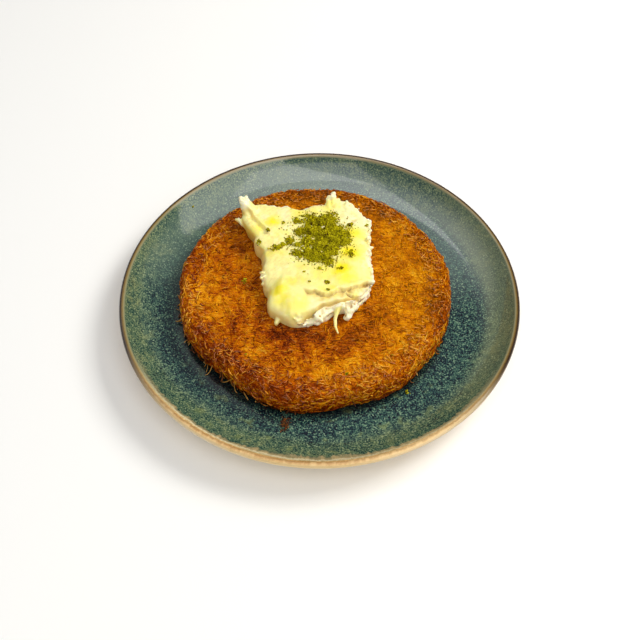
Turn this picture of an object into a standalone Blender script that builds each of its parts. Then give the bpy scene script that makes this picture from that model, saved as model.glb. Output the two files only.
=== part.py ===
"""Kunafa on a stoneware plate, with a fold of clotted cream and ground pistachio.

Metres, +Z up. The origin is on the table under the middle of the plate, and -Y is the front.
"""

import math
import random

import bmesh
import bpy
from mathutils import Matrix, Vector, noise

# The gap that pieces keep where they rest on each other
RESTING_GAP = 0.0003

# Plate: a turned stoneware dish with a flat well, an upturned wall and a rolled lip
PLATE_RADIUS = 0.1200
PLATE_HEIGHT = 0.0228
WELL_RADIUS = 0.0820
WELL_HEIGHT = 0.0065
WALL_POWER = 3.2
LIP_RADIUS = 0.0019
LIP_INNER_DEG = 143.0
LIP_OUTER_DEG = -38.0
UNDERSIDE_HEIGHT = 0.0025
UNDERSIDE_RADIUS = 0.0940
OUTER_POWER = 1.9
FOOT_OUTER_RADIUS = 0.0760
FOOT_INNER_RADIUS = 0.0700
FOOT_EDGE = 0.0008
PLATE_STEPS = 60
LIP_STEPS = 6
WALL_STEPS = 11
OUTER_STEPS = 6

# Kunafa: a pressed disc of shredded pastry, lying a little off the middle of the plate
KUNAFA_CENTRE = Vector((-0.0029, 0.0051))
KUNAFA_RADIUS = 0.0820
KUNAFA_THICKNESS = 0.0160
TOP_EDGE_RADIUS = 0.0058
FOOT_INSET = 0.0022
KUNAFA_GRID = 44
CRAG_HEIGHT = 0.0007
CRAG_SIZE = 0.0052
CRAG_BARE_EDGE = 0.001
CRAG_FADE = 0.003
OUTLINE_WAVE = 0.0022
WAVES_AROUND = 2.2
DENT_DEG = -131.0
DENT_WIDTH_DEG = 17.0
DENT_DEPTH = 0.0024

# Pastry strands that stand clear of the crust
STRAND_RADIUS = 0.00052
STRAND_POINTS = 4
RIM_STRANDS = 46
TOP_STRAND_PLACES = 46
TOP_STRAND_REACH = 0.074
RIM_STRAND_LENGTH = (0.007, 0.015)
TOP_STRAND_LENGTH = (0.009, 0.014)
RIM_STRAND_HEIGHT = (0.0022, 0.0130)
RIM_STRAND_SLANT_DEG = (50.0, 80.0)
RIM_STRAND_BEND = (0.25, 0.9)
RIM_STRAND_LIFT = (-0.0040, 0.0012)
LOWEST_STRAND = 0.0016
STRAND_ROOT = 0.0016
STRAND_SINK = 0.0012
STRAND_SEED = 11
GOLDEN_ANGLE_DEG = 137.508
CREAM_CLEARANCE = 0.015

# Clotted cream: its outline as angle and radius about its own middle, with -Y at 270 degrees
CREAM_MIDDLE = Vector((-0.0080, 0.0140))
CREAM_OUTLINE = (
    (0, 0.0385), (20, 0.0415), (43, 0.0515), (62, 0.0560), (80, 0.0475), (95, 0.0425), (109, 0.0480),
    (129, 0.0590), (138, 0.0575), (152, 0.0400), (168, 0.0300), (184, 0.0275), (200, 0.0290),
    (222, 0.0318), (241, 0.0420), (262, 0.0445), (280, 0.0420), (296, 0.0392), (311, 0.0440), (327, 0.0444),
    (342, 0.0418),
)
CREAM_HEIGHT = 0.0132
CREAM_SQUARENESS = 7.0
CREAM_SUNK = 0.003
HOLLOW_DEPTH = 0.0016
HOLLOW_MIDDLE = Vector((-0.0080, 0.0280))
HOLLOW_HALF_WIDTH = 0.024
HOLLOW_HALF_DEPTH = 0.022

# The cream's sloping left side, the crease where its front is folded over, and the torn face under that fold
LEFT_ARC_DEG = (158.0, 202.0)
LEFT_FADE_DEG = 16.0
LEFT_DROP = 0.0080
LEFT_WIDTH = 0.0065
FOLD_MIDDLE = Vector((0.0020, -0.0130))
FOLD_BEND = 11.0
FOLD_START = -0.0160
FOLD_FADE = 0.0100
FOLD_DEPTH = 0.0022
FOLD_WIDTH = 0.0012
FOLD_STEP = 0.0012
FOLD_STEP_WIDTH = 0.004
TORN_MIDDLE = -0.0207
TORN_SLANT = 0.37
TORN_BEND = -2.2
TORN_DROP = 0.0055
TORN_WIDTH = 0.0046
CREAM_VOXEL = 0.0013
CREAM_TRIANGLES = 2900

# Peaks and torn lumps of the cream: foot and tip of each, and the radius at each end
CREAM_PEAKS = (
    ((-0.0425, 0.0520, 0.0320), (-0.0492, 0.0570, 0.0420), 0.0062, 0.0012),
    ((-0.0440, 0.0450, 0.0300), (-0.0520, 0.0492, 0.0305), 0.0040, 0.0009),
    ((0.0070, 0.0575, 0.0330), (0.0085, 0.0630, 0.0362), 0.0040, 0.0024),
    ((0.0190, 0.0560, 0.0325), (0.0195, 0.0595, 0.0352), 0.0036, 0.0018),
    ((0.0240, 0.0010, 0.0290), (0.0330, 0.0010, 0.0295), 0.0048, 0.0010),
    ((-0.0275, 0.0010, 0.0300), (-0.0332, 0.0012, 0.0308), 0.0052, 0.0024),
    ((-0.0285, -0.0030, 0.0296), (-0.0334, -0.0030, 0.0300), 0.0036, 0.0014),
    ((0.0185, -0.0170, 0.0275), (0.0162, -0.0235, 0.0252), 0.0034, 0.0024),
    ((0.0118, -0.0160, 0.0306), (0.0091, -0.0256, 0.0256), 0.0024, 0.0014),
    ((0.0091, -0.0256, 0.0252), (0.0108, -0.0345, 0.0237), 0.0014, 0.0007),
    ((-0.0230, -0.0230, 0.0260), (-0.0262, -0.0285, 0.0240), 0.0036, 0.0012),
)
CURDS = 20
CURD_RADIUS = (0.0016, 0.0032)
CURD_ARC_DEG = (272.0, 340.0)
CURD_INSET = (0.0008, 0.0040)
CURD_HEIGHT = (0.0010, 0.0070)
CURD_SEED = 5

# Ground pistachio: a low heap on the cream, outlined as the cream is, and the larger crumbs beside it
HEAP_MIDDLE = Vector((0.0010, 0.0290))
HEAP_OUTLINE = (
    (0, 0.0160), (30, 0.0158), (53, 0.0158), (72, 0.0218), (95, 0.0215), (135, 0.0208), (165, 0.0175),
    (195, 0.0180), (222, 0.0195), (250, 0.0190), (278, 0.0220), (305, 0.0163),
)
HEAP_HEIGHT = 0.0036
HEAP_BURIED = 0.0040
HEAP_CRUMBLE = 0.0016
HEAP_SUBDIVISIONS = 4
CRUMB_RADIUS = 0.0012
CRUMB_SUNK = 0.0008
CRUMB_UNEVEN = 0.35
CRUMB_PLACES = (
    (-0.0283, 0.0198), (-0.0254, 0.0218), (-0.0226, 0.0239), (-0.0314, 0.0350), (-0.0370, 0.0265),
    (-0.0224, 0.0417), (0.0040, -0.0054), (0.0205, 0.0358), (0.0202, 0.0124), (0.0112, 0.0060),
    (-0.0089, 0.0022),
)

KUNAFA_BASE = WELL_HEIGHT + RESTING_GAP
KUNAFA_TOP = KUNAFA_BASE + KUNAFA_THICKNESS
CREAM_BASE = KUNAFA_TOP + RESTING_GAP


def clear_scene():
    for thing in list(bpy.data.objects):
        bpy.data.objects.remove(thing, do_unlink=True)


def new_collection(name):
    collection = bpy.data.collections.new(name)
    bpy.context.scene.collection.children.link(collection)
    return collection


def material(name, colour, roughness):
    made = bpy.data.materials.new(name)
    made.use_nodes = True
    shader = made.node_tree.nodes["Principled BSDF"]
    shader.inputs["Base Color"].default_value = (*colour, 1.0)
    shader.inputs["Roughness"].default_value = roughness
    shader.inputs["Metallic"].default_value = 0.0
    return made


def object_from(name, mesh_maker, collection):
    """An object in this collection whose mesh is what the maker leaves in a bmesh."""
    form = bmesh.new()
    mesh_maker(form)
    mesh = bpy.data.meshes.new(name)
    form.to_mesh(mesh)
    form.free()
    thing = bpy.data.objects.new(name, mesh)
    collection.objects.link(thing)
    return thing


def apply_modifiers(thing):
    graph = bpy.context.evaluated_depsgraph_get()
    graph.update()
    mesh = bpy.data.meshes.new_from_object(thing.evaluated_get(graph))
    thing.modifiers.clear()
    thing.data = mesh


def finish_surface(thing, finish, sharp_deg):
    thing.data.materials.clear()
    thing.data.materials.append(finish)
    thing.data.shade_smooth()
    thing.data.set_sharp_from_angle(angle=math.radians(sharp_deg))


def turn(angle_deg, radius):
    angle = math.radians(angle_deg)
    return Vector((radius * math.cos(angle), radius * math.sin(angle)))


def power_curve(start, end, power, count):
    """Points after start up to end, level at the start and steeper towards the end."""
    points = []
    for step in range(1, count + 1):
        share = step / count
        points.append((
            start[0] + (end[0] - start[0]) * share,
            start[1] + (end[1] - start[1]) * share ** power,
        ))
    return points


def plate_profile():
    """The plate's section from the middle of the well, over the lip and back under to the axis."""
    lip_centre = Vector((PLATE_RADIUS - LIP_RADIUS, PLATE_HEIGHT - LIP_RADIUS))
    well_edge = (WELL_RADIUS, WELL_HEIGHT)
    inner_end = lip_centre + turn(LIP_INNER_DEG, LIP_RADIUS)
    outer_end = lip_centre + turn(LIP_OUTER_DEG, LIP_RADIUS)
    underside_edge = (UNDERSIDE_RADIUS, UNDERSIDE_HEIGHT)
    lip = [
        lip_centre + turn(LIP_INNER_DEG + (LIP_OUTER_DEG - LIP_INNER_DEG) * step / LIP_STEPS, LIP_RADIUS)
        for step in range(1, LIP_STEPS)
    ]
    outer_wall = power_curve(underside_edge, outer_end, OUTER_POWER, OUTER_STEPS)
    foot = [
        (FOOT_OUTER_RADIUS + FOOT_EDGE, UNDERSIDE_HEIGHT),
        (FOOT_OUTER_RADIUS, FOOT_EDGE),
        (FOOT_OUTER_RADIUS - FOOT_EDGE, 0.0),
        (FOOT_INNER_RADIUS + FOOT_EDGE, 0.0),
        (FOOT_INNER_RADIUS, FOOT_EDGE),
        (FOOT_INNER_RADIUS - FOOT_EDGE, UNDERSIDE_HEIGHT),
    ]
    return [
        (0.0, WELL_HEIGHT), well_edge, *power_curve(well_edge, inner_end, WALL_POWER, WALL_STEPS), *lip,
        *reversed(outer_wall), underside_edge, *foot, (0.0, UNDERSIDE_HEIGHT),
    ]


def make_plate(collection, finish):
    def section(form):
        corners = [form.verts.new((radius, 0.0, height)) for radius, height in plate_profile()]
        for first, second in zip(corners, corners[1:]):
            form.edges.new((first, second))

    plate = object_from("plate", section, collection)
    screw = plate.modifiers.new("Turned", "SCREW")
    screw.axis = "Z"
    screw.steps = screw.render_steps = PLATE_STEPS
    screw.use_merge_vertices = True
    screw.merge_threshold = 0.00005
    apply_modifiers(plate)
    finish_surface(plate, finish, 40.0)
    return plate


def kunafa_profile(travel):
    """Distance from the axis and height over the base, at this travel outwards over the top and down."""
    flat = KUNAFA_RADIUS - TOP_EDGE_RADIUS
    arc = TOP_EDGE_RADIUS * math.pi / 2
    if travel <= flat:
        return travel, KUNAFA_THICKNESS
    if travel <= flat + arc:
        angle = (travel - flat) / TOP_EDGE_RADIUS
        return (
            flat + TOP_EDGE_RADIUS * math.sin(angle),
            KUNAFA_THICKNESS - TOP_EDGE_RADIUS * (1 - math.cos(angle)),
        )
    side = KUNAFA_THICKNESS - TOP_EDGE_RADIUS
    down = min(1.0, (travel - flat - arc) / side)
    return KUNAFA_RADIUS - FOOT_INSET * down ** 3, side * (1 - down)


def outline_change(angle_deg):
    """How far the disc's edge stands out from a true circle at this angle."""
    off = (angle_deg - DENT_DEG + 180.0) % 360.0 - 180.0
    dent = DENT_DEPTH * math.exp(-((off / DENT_WIDTH_DEG) ** 2))
    around = turn(angle_deg, WAVES_AROUND)
    return OUTLINE_WAVE * noise.noise(around.to_3d()) - dent


def make_kunafa_core(collection):
    flat = KUNAFA_RADIUS - TOP_EDGE_RADIUS
    reach = flat + TOP_EDGE_RADIUS * math.pi / 2 + KUNAFA_THICKNESS - TOP_EDGE_RADIUS

    def pressed_disc(form):
        bmesh.ops.create_grid(form, x_segments=KUNAFA_GRID, y_segments=KUNAFA_GRID, size=1.0)
        for vert in form.verts:
            u, v = vert.co.x, vert.co.y
            disc = Vector((u * math.sqrt(1 - v * v / 2), v * math.sqrt(1 - u * u / 2)))
            angle = math.degrees(math.atan2(disc.y, disc.x))
            radius, height = kunafa_profile(min(1.0, disc.length) * reach)
            radius += outline_change(angle) * (radius / KUNAFA_RADIUS) ** 4
            place = KUNAFA_CENTRE + turn(angle, radius)
            vert.co = (place.x, place.y, KUNAFA_BASE + height)
        bmesh.ops.holes_fill(form, edges=[edge for edge in form.edges if edge.is_boundary], sides=0)
        bmesh.ops.recalc_face_normals(form, faces=form.faces)
        form.normal_update()
        for vert in form.verts:
            vert.co += vert.normal * crag(vert.co)

    return object_from("kunafa", pressed_disc, collection)


def past_cream(place):
    """How far this place lies outside the cream's outline."""
    return (Vector(place[:2]) - CREAM_MIDDLE).length - cream_radius(place)


def crag(place):
    """The relief of the matted crust, nothing under the cream or on the base."""
    if place.z < KUNAFA_BASE + CRAG_BARE_EDGE:
        return 0.0
    share = step_up((past_cream(place) - CRAG_BARE_EDGE) / CRAG_FADE)
    rough = noise.noise(place / CRAG_SIZE) + 0.5 * noise.noise(place / CRAG_SIZE * 2.1)
    return CRAG_HEIGHT * share * (rough - 0.25)


def strand_path(start, ahead, length, bend, lift):
    """Points of a strand that leaves start along ahead, turning by bend and ending lift higher."""
    points = []
    heading = math.atan2(ahead.y, ahead.x)
    place = Vector(start)
    step = length / (STRAND_POINTS - 1)
    for index in range(STRAND_POINTS):
        points.append(place.copy())
        turned = heading + bend * index / (STRAND_POINTS - 1)
        place += Vector((math.cos(turned) * step, math.sin(turned) * step, lift / (STRAND_POINTS - 1)))
    return points


def add_strand(points, collection):
    curve = bpy.data.curves.new("strand", "CURVE")
    curve.dimensions = "3D"
    curve.bevel_depth = STRAND_RADIUS
    curve.bevel_resolution = 1
    curve.use_fill_caps = True
    spline = curve.splines.new("POLY")
    spline.points.add(len(points) - 1)
    for point, place in zip(spline.points, points):
        point.co = (*place, 1.0)
    wire = bpy.data.objects.new("strand", curve)
    bpy.context.scene.collection.objects.link(wire)
    graph = bpy.context.evaluated_depsgraph_get()
    graph.update()
    mesh = bpy.data.meshes.new_from_object(wire.evaluated_get(graph))
    form = bmesh.new()
    form.from_mesh(mesh)
    bmesh.ops.remove_doubles(form, verts=form.verts, dist=0.00002)
    form.to_mesh(mesh)
    form.free()
    bpy.data.objects.remove(wire, do_unlink=True)
    collection.objects.link(bpy.data.objects.new("strand", mesh))


def rim_strand(rng, place_share):
    """A strand that starts in the side of the disc and curls away from it or along it."""
    angle = 360.0 * place_share + rng.uniform(-3.0, 3.0)
    height = rng.uniform(*RIM_STRAND_HEIGHT)
    foot = KUNAFA_CENTRE + turn(angle, KUNAFA_RADIUS + outline_change(angle) - STRAND_ROOT)
    side = rng.choice((-1.0, 1.0))
    ahead = turn(angle + side * rng.uniform(*RIM_STRAND_SLANT_DEG), 1.0)
    length = rng.uniform(*RIM_STRAND_LENGTH)
    bend = side * rng.uniform(*RIM_STRAND_BEND)
    lift = max(LOWEST_STRAND - height, rng.uniform(*RIM_STRAND_LIFT))
    return strand_path((foot.x, foot.y, KUNAFA_BASE + height), ahead, length, bend, lift)


def top_strand(rng, place, angle):
    """A strand that lies half sunk in the crust at this place, across the way out from the middle."""
    length = rng.uniform(*TOP_STRAND_LENGTH)
    ahead = turn(angle + 90.0 + rng.uniform(-60.0, 60.0), 1.0)
    points = strand_path((place.x, place.y, KUNAFA_TOP), ahead, length, rng.uniform(-0.9, 0.9), 0.0)
    points[0].z -= STRAND_SINK
    points[-1].z -= STRAND_SINK
    return points


def make_kunafa(collection, loose, finish):
    rng = random.Random(STRAND_SEED)
    kunafa = make_kunafa_core(collection)
    for index in range(RIM_STRANDS):
        add_strand(rim_strand(rng, index / RIM_STRANDS), loose)
    for index in range(TOP_STRAND_PLACES):
        angle = index * GOLDEN_ANGLE_DEG
        place = KUNAFA_CENTRE + turn(angle, TOP_STRAND_REACH * math.sqrt((index + 0.5) / TOP_STRAND_PLACES))
        if past_cream(place) > CREAM_CLEARANCE:
            add_strand(top_strand(rng, place, angle), loose)
    join_all(kunafa, loose)
    finish_surface(kunafa, finish, 50.0)
    return kunafa


def join_all(thing, loose):
    """Joins everything in the loose collection to thing, and removes what was joined."""
    union = thing.modifiers.new("Joined", "BOOLEAN")
    union.operation = "UNION"
    union.operand_type = "COLLECTION"
    union.collection = loose
    union.solver = "MANIFOLD"
    apply_modifiers(thing)
    for other in list(loose.objects):
        bpy.data.objects.remove(other, do_unlink=True)


def ring_radius(outline, middle, place):
    """The radius of a closed outline about its middle, towards this place."""
    away = Vector(place[:2]) - middle
    angle = math.degrees(math.atan2(away.y, away.x)) % 360.0
    closed = (*outline, (360, outline[0][1]))
    for (low, first), (high, second) in zip(closed, closed[1:]):
        if angle <= high:
            share = (angle - low) / (high - low)
            return first + (second - first) * share * share * (3 - 2 * share)
    return outline[0][1]


def cream_radius(place):
    return ring_radius(CREAM_OUTLINE, CREAM_MIDDLE, place)


def step_up(value):
    """Rises smoothly from 0 to 1 as the value does."""
    held = max(0.0, min(1.0, value))
    return held * held * (3 - 2 * held)


def cream_height(x, y):
    """The height of the cream's upper face over its base."""
    across = (x - HOLLOW_MIDDLE.x) / HOLLOW_HALF_WIDTH
    along = (y - HOLLOW_MIDDLE.y) / HOLLOW_HALF_DEPTH
    hollow = HOLLOW_DEPTH * math.exp(-across * across - along * along)
    away = Vector((x, y)) - CREAM_MIDDLE
    angle = math.degrees(math.atan2(away.y, away.x)) % 360.0
    past_start = step_up((angle - LEFT_ARC_DEG[0]) / LEFT_FADE_DEG + 1)
    before_end = step_up((LEFT_ARC_DEG[1] - angle) / LEFT_FADE_DEG + 1)
    inside = max(0.0, -past_cream((x, y)))
    slope = LEFT_DROP * past_start * before_end * max(0.0, 1 - inside / LEFT_WIDTH) ** 1.6
    past_fold = FOLD_MIDDLE.y + FOLD_BEND * (x - FOLD_MIDDLE.x) ** 2 - y
    folded = step_up((x - FOLD_START) / FOLD_FADE)
    crease = folded * FOLD_DEPTH * math.exp(-((past_fold / FOLD_WIDTH) ** 2))
    step = folded * FOLD_STEP * step_up(past_fold / FOLD_STEP_WIDTH)
    past_torn = TORN_MIDDLE + TORN_SLANT * x + TORN_BEND * x * x - y
    torn = TORN_DROP * step_up(past_torn / TORN_WIDTH)
    return CREAM_HEIGHT - hollow - slope - crease - step - torn


def cream_slab(form):
    """The folded slab: a ball drawn out to the outline, with steep sides and a shaped upper face."""
    bmesh.ops.create_icosphere(form, subdivisions=6, radius=1.0)
    for vert in form.verts:
        across = Vector((vert.co.x, vert.co.y))
        if across.length > 1e-6:
            across.normalize()
        reach = math.sqrt(max(0.0, 1.0 - vert.co.z ** 2))
        edge = cream_radius(CREAM_MIDDLE + across)
        place = CREAM_MIDDLE + across * edge * reach ** (2 / CREAM_SQUARENESS)
        rise = abs(vert.co.z) ** (2 / CREAM_SQUARENESS)
        if vert.co.z > 0:
            vert.co = (place.x, place.y, CREAM_BASE + cream_height(place.x, place.y) * rise)
        else:
            vert.co = (place.x, place.y, CREAM_BASE - CREAM_SUNK * rise)


def add_taper(form, foot, tip, foot_radius, tip_radius):
    """A tapered finger with round ends, from foot to tip."""
    foot = Vector(foot)
    tip = Vector(tip)
    along = tip - foot
    facing = along.to_track_quat("Z", "Y").to_matrix().to_4x4()
    bmesh.ops.create_cone(
        form, cap_ends=True, segments=16, radius1=foot_radius, radius2=tip_radius, depth=along.length,
        matrix=Matrix.Translation((foot + tip) / 2) @ facing,
    )
    for place, radius in ((foot, foot_radius), (tip, tip_radius)):
        bmesh.ops.create_icosphere(form, subdivisions=2, radius=radius, matrix=Matrix.Translation(place))


def cream_lumps(form):
    """The peaks drawn up by the spoon, and the curds torn along the front right edge."""
    for foot, tip, foot_radius, tip_radius in CREAM_PEAKS:
        add_taper(form, foot, tip, foot_radius, tip_radius)
    rng = random.Random(CURD_SEED)
    for _ in range(CURDS):
        away = turn(rng.uniform(*CURD_ARC_DEG), 1.0)
        edge = cream_radius(CREAM_MIDDLE + away)
        place = CREAM_MIDDLE + away * (edge - rng.uniform(*CURD_INSET))
        radius = rng.uniform(*CURD_RADIUS)
        height = CREAM_BASE + rng.uniform(*CURD_HEIGHT)
        bmesh.ops.create_icosphere(
            form, subdivisions=2, radius=radius, matrix=Matrix.Translation((place.x, place.y, height))
        )


def cut_flat(form, height):
    """Cuts away what is below this height and closes the cut."""
    whole = [*form.verts, *form.edges, *form.faces]
    bmesh.ops.bisect_plane(
        form, geom=whole, plane_co=(0, 0, height), plane_no=(0, 0, 1), clear_inner=True, dist=1e-6
    )
    bmesh.ops.holes_fill(form, edges=[edge for edge in form.edges if edge.is_boundary], sides=0)
    bmesh.ops.triangulate(form, faces=[face for face in form.faces if len(face.verts) > 4])


def reshape(thing, change):
    form = bmesh.new()
    form.from_mesh(thing.data)
    change(form)
    form.to_mesh(thing.data)
    form.free()


def thin_out(thing, triangles):
    thing.data.calc_loop_triangles()
    fewer = thing.modifiers.new("Fewer", "DECIMATE")
    fewer.ratio = min(1.0, triangles / len(thing.data.loop_triangles))
    apply_modifiers(thing)


def make_cream(collection):
    def whole(form):
        cream_slab(form)
        cream_lumps(form)

    cream = object_from("cream", whole, collection)
    one_skin = cream.modifiers.new("One skin", "REMESH")
    one_skin.mode = "VOXEL"
    one_skin.voxel_size = CREAM_VOXEL
    apply_modifiers(cream)
    reshape(cream, lambda form: bmesh.ops.smooth_vert(
        form, verts=form.verts, factor=0.4, use_axis_x=True, use_axis_y=True, use_axis_z=True
    ))
    thin_out(cream, CREAM_TRIANGLES)
    reshape(cream, lambda form: cut_flat(form, CREAM_BASE))
    return cream


def height_on(thing, x, y):
    """The height of the upper face of thing at this place."""
    hit, place, _, _ = thing.ray_cast(Vector((x, y, 0.1)), Vector((0, 0, -1)))
    return place.z if hit else None


def make_crumb(index, place, collection):
    def crumb(form):
        bmesh.ops.create_icosphere(form, subdivisions=1, radius=1.0)
        for vert in form.verts:
            uneven = 1.0 + CRUMB_UNEVEN * noise.noise(vert.co + Vector((index, 0, 0)))
            vert.co = place + vert.co * CRUMB_RADIUS * uneven

    object_from("crumb", crumb, collection)


def fuse_crumbs(cream, loose):
    for index, (x, y) in enumerate(CRUMB_PLACES):
        make_crumb(index, Vector((x, y, height_on(cream, x, y) + CRUMB_RADIUS - CRUMB_SUNK)), loose)
    join_all(cream, loose)


def make_heap(collection, cutters, cream):
    """The low heap of ground pistachio, its underside fitted to the cream with the resting gap."""
    ground = height_on(cream, HEAP_MIDDLE.x, HEAP_MIDDLE.y)

    def mound(form):
        bmesh.ops.create_icosphere(form, subdivisions=HEAP_SUBDIVISIONS, radius=1.0)
        for vert in form.verts:
            way = vert.co.normalized()
            edge = ring_radius(HEAP_OUTLINE, HEAP_MIDDLE, HEAP_MIDDLE + way.xy)
            place = HEAP_MIDDLE + way.xy * edge
            crumble = HEAP_CRUMBLE * noise.noise(way * 7.0) * max(0.0, way.z)
            tall = HEAP_HEIGHT if way.z > 0 else HEAP_BURIED
            level = height_on(cream, place.x, place.y) or ground
            vert.co = (place.x, place.y, level + way.z * tall + crumble)

    heap = object_from("pistachio", mound, collection)
    mould = cream.copy()
    mould.data = cream.data.copy()
    mould.name = "cream_mould"
    mould.location.z += RESTING_GAP
    mould.hide_render = True
    mould.display_type = "WIRE"
    cutters.objects.link(mould)
    cut = heap.modifiers.new("Fitted", "BOOLEAN")
    cut.operation = "DIFFERENCE"
    cut.object = mould
    apply_modifiers(heap)
    bpy.data.objects.remove(mould, do_unlink=True)
    return heap


def main():
    clear_scene()
    dish = new_collection("Kunafa")
    loose = new_collection("Loose")
    cutters = new_collection("Cutters")
    stoneware = material("stoneware", (0.055, 0.115, 0.110), 0.22)
    crust = material("pastry", (0.430, 0.150, 0.010), 0.42)
    clotted = material("clotted_cream", (0.900, 0.840, 0.480), 0.45)
    ground_nut = material("ground_pistachio", (0.180, 0.220, 0.015), 0.80)
    make_plate(dish, stoneware)
    make_kunafa(dish, loose, crust)
    cream = make_cream(dish)
    bpy.context.view_layer.update()
    heap = make_heap(dish, cutters, cream)
    fuse_crumbs(cream, loose)
    finish_surface(cream, clotted, 60.0)
    finish_surface(heap, ground_nut, 60.0)


if __name__ == "__main__":
    main()
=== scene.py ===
"""The looks of a kunafa with clotted cream and ground pistachio, on its glazed plate.

Metres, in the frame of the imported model: +Z up, with -Y towards the viewer. The rows that metres() turns
start with millimetres.
"""

import math

import bmesh
import bpy
import numpy as np
from mathutils import Matrix, Vector
from mathutils.noise import noise


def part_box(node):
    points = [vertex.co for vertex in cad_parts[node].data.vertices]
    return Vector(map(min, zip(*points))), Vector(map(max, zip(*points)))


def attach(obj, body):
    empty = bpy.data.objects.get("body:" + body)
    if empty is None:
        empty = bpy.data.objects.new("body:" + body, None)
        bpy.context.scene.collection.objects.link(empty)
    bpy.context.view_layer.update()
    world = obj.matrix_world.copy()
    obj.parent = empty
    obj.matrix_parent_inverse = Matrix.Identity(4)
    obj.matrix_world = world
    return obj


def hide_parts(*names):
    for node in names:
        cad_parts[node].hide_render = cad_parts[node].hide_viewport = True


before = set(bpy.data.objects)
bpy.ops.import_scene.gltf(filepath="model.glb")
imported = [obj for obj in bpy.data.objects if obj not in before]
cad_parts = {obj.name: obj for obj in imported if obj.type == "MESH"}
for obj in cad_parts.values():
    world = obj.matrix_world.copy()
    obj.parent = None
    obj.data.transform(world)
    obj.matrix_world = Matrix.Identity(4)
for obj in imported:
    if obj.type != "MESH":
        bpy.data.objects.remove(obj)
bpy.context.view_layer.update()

BODY = "root"
ABOVE_ALL = 0.1
KUNAFA_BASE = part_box("kunafa")[0].z
CREAM_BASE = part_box("cream")[0].z


def metres(lengths, rows):
    """These rows, with so many lengths at the start of each turned from millimetres to metres."""
    return [(*(value / 1000 for value in row[:lengths]), *row[lengths:]) for row in rows]


# The plate, turned from the same section as its solid
PLATE_RADIUS = 0.12
PLATE_HEIGHT = 0.0228
WELL_RADIUS = 0.082
WELL_HEIGHT = 0.0065
WALL_POWER = 3.2
LIP_RADIUS = 0.0019
LIP_INNER_DEG = 143.0
LIP_OUTER_DEG = -38.0
UNDERSIDE_HEIGHT = 0.0025
UNDERSIDE_RADIUS = 0.094
OUTER_POWER = 1.9
FOOT_OUTER_RADIUS = 0.076
FOOT_INNER_RADIUS = 0.07
FOOT_EDGE = 0.0008
PLATE_STEPS = 240

# The kunafa, a pressed disc of shredded pastry
KUNAFA_CENTRE = np.array((-0.0029, 0.0051))
KUNAFA_RADIUS = 0.082
KUNAFA_THICKNESS = 0.016
TOP_EDGE_RADIUS = 0.0058
FOOT_SPREAD = 0.0002
TOP_REACH = KUNAFA_RADIUS - TOP_EDGE_RADIUS
EDGE_REACH = TOP_REACH + TOP_EDGE_RADIUS * math.pi / 2
SIDE_REACH = EDGE_REACH + KUNAFA_THICKNESS - TOP_EDGE_RADIUS
CRAG_HEIGHT = 0.0007
CRAG_SIZE = 0.0052
OUTLINE_WAVE = 0.0022
WAVES_AROUND = 2.2
DENT_DEG = -131.0
DENT_WIDTH_DEG = 17.0
DENT_DEPTH = 0.0024
CORE_GRID = 150
CORE_SUNK = 0.0002

# Its strands
STRAND_SIDES = 3
STRAND_RINGS = 5
STRAND_TIP = 0.5
HIDDEN_UNDER_CREAM = 0.0025
DULL_SHINE = (1.0, 0.58, 0.22)
SYRUP_SHINE = (1.0, 0.66, 0.36)

# Where the crust browned less or more: x, y and reach, and the change of tone
BROWNING = metres(3, (
    (54, -40, 28, 0.2), (6, -60, 22, 0.14), (-66, -12, 22, 0.14), (34, -56, 24, 0.14), (46, 12, 30, 0.1),
    (-58, -44, 26, -0.2), (-30, -70, 26, -0.1), (28, -26, 26, -0.16), (-16, -32, 26, -0.3),
    (8, -36, 22, -0.22), (-52, 44, 22, -0.08), (-40, -30, 20, -0.06), (86, -16, 30, -0.32),
    (26, 82, 60, -0.16), (-58, 60, 30, -0.12), (-24, 80, 28, -0.1), (-28, -86, 20, -0.12),
))

# Loose tufts at the foot: direction and spread in degrees, strands, and reach over the plate
STRAY_TUFTS = (
    (-178, 3, 5, 0.0035), (-169, 3, 5, 0.004), (-160, 2, 5, 0.0035), (-152, 4, 5, 0.0045),
    (-142, 3, 4, 0.004), (-134, 4, 5, 0.0045), (-124, 3, 4, 0.005), (-115, 4, 4, 0.004),
    (-107, 3, 3, 0.003), (-96, 3, 2, 0.002), (-62, 5, 3, 0.0025), (-46, 4, 4, 0.003), (-30, 5, 4, 0.003),
    (-8, 5, 3, 0.0025), (25, 9, 5, 0.0025), (75, 12, 5, 0.0025), (125, 12, 6, 0.0025), (160, 6, 4, 0.003),
)
STRAY_RADII = (0.00024, 0.00052)
STRAY_SEED = 27
OVER_PLATE = 0.0003
FALLEN_TUFT = np.array((-0.0193, -0.0855, 0.0078))
FALLEN_STRANDS = 56
FALLEN_TUFT_SPREAD = np.array((0.0011, 0.0022, 0.0005))
FALLEN_LENGTHS = (0.0012, 0.0026)
FALLEN_RADII = (0.0002, 0.0004)

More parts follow.
